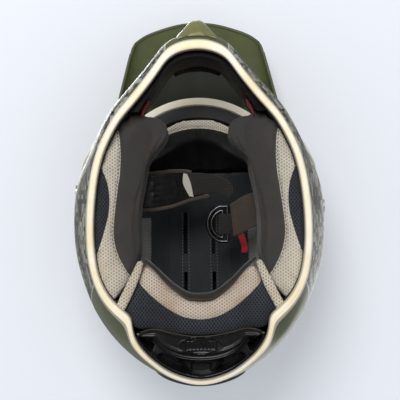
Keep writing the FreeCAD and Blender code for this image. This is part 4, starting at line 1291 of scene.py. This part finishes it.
def left_strap():
    """The short half: a suede cover over the webbing loop that holds the two rings, and the pull ribbon."""
    front = [(58, -22.4, 104.4), (46, -18.6, 105.2), (38, -13.8, 109.2), (31.5, -10.2, 112.6)]
    rear = [(58, 11.6, 104.4), (46, 17.2, 105.2), (40, 20.4, 108.4), (34.4, 22.8, 111.4)]
    bowed = lambda u, v: between(front, rear)(u, v) + Vector((0, 0, -1.5 * MM * math.sin(math.pi * v) * u))
    cover = plate("strap_cover_suede", bowed, 2.6 * MM, 40, 40, 0.05)
    bend = fold("left", -0.007)
    place(cover, "shell", "suede", "strap_cover_left", bend=bend, finish="brown_suede")
    row = [bowed(0.90, k / 160) + Vector((0, 0, -0.02)) for k in range(8, 153)]
    sewn = stitches("strap_stitching_left", surface_tree(cover), row, 3.0 * MM, 2.0 * MM, 0.3 * MM, 0.0)
    place(sewn, "shell", "suede", bend=bend, finish="thread")
    low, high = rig.box("webbing_left")
    middle, radius, run = (low + high) / 2, 2.75 * MM, (high.x - low.x) / 2 - 3.4 * MM
    path, lifts = [], []
    for side in (1, -1):
        for k in range(13):
            a = math.pi * k / 12 - math.pi / 2
            lift = Vector((side * math.cos(a), 0, side * math.sin(a)))
            path.append(middle + Vector((side * run, 0, 0)) + lift * radius)
            lifts.append(lift)
    loop = strap("ring_loop_webbing", path, (high.y - low.y) / 2, 1.3 * MM, lambda i: lifts[i % len(lifts)],
                 closed=True)
    place(loop, "strap_left", "webbing", "webbing_left")
    hanging = through([(41.5, 20.5, 106.2), (43.5, 27, 104.0), (45.0, 33, 105.4), (44.6, 38.6, 103.6)], 8)
    ribbon = strap("pull_ribbon_red", hanging, 3.4 * MM, 0.9 * MM, (0.5, 0, 1))
    place(ribbon, "strap_left", "red_ribbon", "pull_ribbon")


def strap_roots():
    """Each strap's fixed end, from the rivet on the shell in over the cheek pad."""
    for side, sign in (("left", 1), ("right", -1)):
        low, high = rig.box("strap_root_" + side)
        y = (low.y + high.y) / 2 / MM
        wall = max(abs(low.x), abs(high.x)) / MM - 1.0
        path = [(sign * x, y, z) for x, z in ((47.5, 105), (70, 104.8), (wall - 8, 105.0),
                                              (wall - 1.6, 106.4), (wall, 112), (wall, 126))]
        root = strap("strap_root_webbing_" + side, through(path, 8), 10.8 * MM, 1.9 * MM,
                     (-sign * 0.75, 0, 0.66))
        place(root, "shell", "webbing", "strap_root_" + side)


# ---------------- neck outlet
def inside_by(polygon, x, y):
    """Distance in millimetres from a convex outline: positive inside."""
    nearest = 1e9
    for (ax, ay), (bx, by) in zip(polygon, polygon[1:] + polygon[:1]):
        length = math.hypot(bx - ax, by - ay)
        nearest = min(nearest, ((bx - ax) * (y - ay) - (by - ay) * (x - ax)) / length)
    return nearest


# the nape outlet's lines and convex outlines in millimetres, for x from the middle outwards
OUTLET_FRONT = [(0, 109.6), (10, 109.2), (28, 106.0), (40, 102.8), (50, 103.4), (58, 106.0)]
FIRST_LEDGE = [(0, 126.6), (19, 124.6), (30, 120.6), (37, 115.6), (42, 110)]
SECOND_LEDGE = [(0, 133.0), (15, 131.6), (25, 128.6), (32, 124.4), (38, 118.6), (44, 112)]
OUTLET_DUCT = [(11.5, 146), (19, 135.5), (36, 126.0), (41.5, 128.5), (31, 140.0)]
OUTLET_WINDOW = [(-9.5, 135.5), (9.5, 135.5), (10.0, 147.0), (-10.0, 147.0)]
OUTLET_POCKET = [(42.5, 118.5), (56, 108.2), (57.5, 113.5), (50.5, 122.5), (45, 125)]


def outlet_height(x, y):
    """How deep the moulding's visible face lies, in millimetres above the rim plane."""
    x = abs(x)
    deep = 13.6 + 1.6 * rise(y, smooth(OUTLET_FRONT, x) + 1.0, smooth(OUTLET_FRONT, x) + 4.0)
    first = y - smooth(FIRST_LEDGE, x)
    deep += 3.4 * rise(first, -0.6, 1.4) - 1.0 * math.exp(-((first + 1.4) / 1.3) ** 2)
    second = y - smooth(SECOND_LEDGE, x)
    deep += 9.0 * rise(second, -0.2, 1.8) - 1.3 * math.exp(-((second + 1.2) / 1.2) ** 2)
    deep += 9.0 * rise(inside_by(OUTLET_DUCT, x, y), 0.0, 1.6)
    deep += 5.0 * rise(inside_by(OUTLET_WINDOW, x, y), 0.0, 1.4)
    deep += 14.0 * rise(inside_by(OUTLET_POCKET, x, y), 0.0, 1.6)
    fin = abs((x - 18.5) * 0.80 + (y - 134.0) * 0.60)
    if 131 < y < 147 and x < 21:
        deep -= 7.0 * math.exp(-((fin / 0.9) ** 2))
    rib = abs(x - 46.8)
    if 113 < y < 126:
        deep -= 9.0 * math.exp(-((rib / 0.7) ** 2))
    oval = math.hypot(x / 19.0, (y - 118.4) / 7.6)
    deep += 1.1 * (1 - rise(oval, 0.94, 1.02)) - 0.7 * math.exp(-(((oval - 1.03) / 0.045) ** 2))
    plaque = max(x / 14.5, abs(y - 118.4) / 4.9)
    deep -= 2.4 * (1 - rise(plaque, 0.92, 1.04))
    if plaque < 0.9:
        deep += 0.7 * (0.5 + 0.5 * math.cos(2 * math.pi * x / 3.4)) * (1 - rise(abs(y - 118.4), 2.6, 3.4))
    return deep


def outlet():
    """The moulded air outlet at the nape: stepped ledges, ducts between fins, and a ribbed oval."""
    tree = tree_of("rim_trim")
    columns, rows, half, top = 176, 76, 58.0, 44.0
    work = bmesh.new()
    lower, upper = [], []
    for i in range(columns + 1):
        x = half * (2 * i / columns - 1)
        angle = 180 - math.degrees(math.atan2(x, 120.0))
        for _ in range(4):
            r = (inner_radius(tree, angle, 6 * MM) + nape_step(angle)) / MM - 0.5
            angle = 180 - math.degrees(math.asin(max(-1.0, min(1.0, x / r))))
        rear = math.sqrt(max(0.0, r * r - x * x))
        front = smooth(OUTLET_FRONT, abs(x))
        lower.append([])
        upper.append([])
        for j in range(rows + 1):
            y = front + (max(rear, front + 2.0) - front) * j / rows
            z = outlet_height(x, y)
            z += (12.8 - z) * (1 - rise(rear - y, 1.2, 3.4))
            lower[i].append(work.verts.new((x * MM, y * MM, z * MM)))
            upper[i].append(work.verts.new((x * MM, y * MM, top * MM)))
    for i in range(columns):
        for j in range(rows):
            work.faces.new((lower[i][j], lower[i + 1][j], lower[i + 1][j + 1], lower[i][j + 1]))
            work.faces.new((upper[i][j], upper[i][j + 1], upper[i + 1][j + 1], upper[i + 1][j]))
        for j in (0, rows):
            work.faces.new((lower[i][j], lower[i + 1][j], upper[i + 1][j], upper[i][j]))
    for i in (0, columns):
        for j in range(rows):
            work.faces.new((lower[i][j], lower[i][j + 1], upper[i][j + 1], upper[i][j]))
    moulding = made_from(work, "outlet_moulding", 60.0)
    place(moulding, "shell", "black_plastic", "neck_outlet", "outlet_plaque", finish="outlet")
    edge = through([(x, smooth(OUTLET_FRONT, abs(x)), 12.6) for x in range(-54, 55, 6)], 6)
    thread = tube("outlet_front_thread", edge, 0.4 * MM, sides=10)
    place(thread, "shell", "black_plastic", finish="tan_thread")


# ---------------- peak and vents
def peak_lip():
    """The rolled edge round the peak, laid on its inner face."""
    tree = tree_of("peak")
    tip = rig.box("peak")[0].y
    above = lambda x, y: tree.ray_cast(Vector((x, y, 0.15)), UP)[0]
    step, inset, steps, front_share = 0.4 * MM, 1.4 * MM, 48, 0.4
    edge = []
    for k in range(-steps, steps + 1):
        side = 1 if k >= 0 else -1
        share = abs(k) / steps
        if share < front_share:
            x, y = share / front_share * 0.058, tip + step
            while above(side * x, y) is None and y < tip + 0.05:
                y += step
            y += inset
        else:
            x, y = 0.130 - step, tip + 0.018 + (share - front_share) / (1 - front_share) * 0.085
            while above(side * x, y) is None and x > 0.03:
                x -= step
            x -= inset
        at = above(side * x, y)
        if at is not None:
            edge.append(at)
    rolled = tube("peak_rolled_edge", edge, 1.5 * MM, 0.9 * MM, sides=14)
    relax = rolled.modifiers.new("relax", "SMOOTH")
    relax.factor, relax.iterations = 0.5, 3
    settle(rolled)
    place(rolled, "peak", "peak_plastic", finish="peak_edge")


# each cover's slats in plan, as (x, y) of the inner end and (x, y) of the outer end in millimetres
SLATS = {"forehead_vent_": ((28, -84, 42, -86), (29, -75, 47, -77), (29, -66, 48, -66)),
         "crown_exhaust_": ((22, 28, 38, 27), (22, 40, 43, 41), (23, 52, 44, 55), (25, 64, 40, 68))}


def louvres(side, sign):
    """Dark slats over the vent covers' openings on one side."""
    for cover, rows in SLATS.items():
        tree = tree_of(cover + side)
        slats = []
        for x0, y0, x1, y1 in rows:
            starts = [Vector((sign * (x0 + (x1 - x0) * k / 12) * MM, (y0 + (y1 - y0) * k / 12) * MM, 0.35))
                      for k in range(13)]
            hits = [tree.ray_cast(start, -UP)[0] for start in starts]
            line = [hit for hit in hits if hit is not None]
            slats.append(tube("slat", line, 1.7 * MM, 1.0 * MM, sides=12))
        place(join(cover + side + "_slats", slats), "shell", "vent_plastic", finish="slat")


# ---------------- build
def soft_goods():
    cheeks = {side: foam_block("cheek_cushion_" + side, "cheek_pad_" + side) for side in ("left", "right")}
    roll = foam_block("neck_roll_cushion", "neck_roll")
    crown = foam_block("crown_liner", "crown_pad", 3.6 * MM, 1.0 * MM)
    brow = foam_block("brow_liner", "brow_pad", 2.2 * MM, 0.0)
    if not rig.quick():
        puff_up([cheeks["left"], cheeks["right"], roll])
        puff_up([crown, brow], 2.0, 2.0 * MM)
    finish = pad_finish()
    for side, pad in cheeks.items():
        finish_cheek_pad(pad, side, finish)
    finish_neck_roll(roll)
    finish_crown(crown)
    finish_brow(brow)


rim_edging()
soft_goods()
chin_lining()
right_strap()
left_strap()
strap_roots()
outlet()
peak_lip()
louvres("left", 1)
louvres("right", -1)

add_camera()
add_stage()

size_file = "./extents.json"
low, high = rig.bounds()
json.dump({"cad": [list(cad_low), list(cad_high)], "visual": [list(low), list(high)]}, open(size_file, "w"))
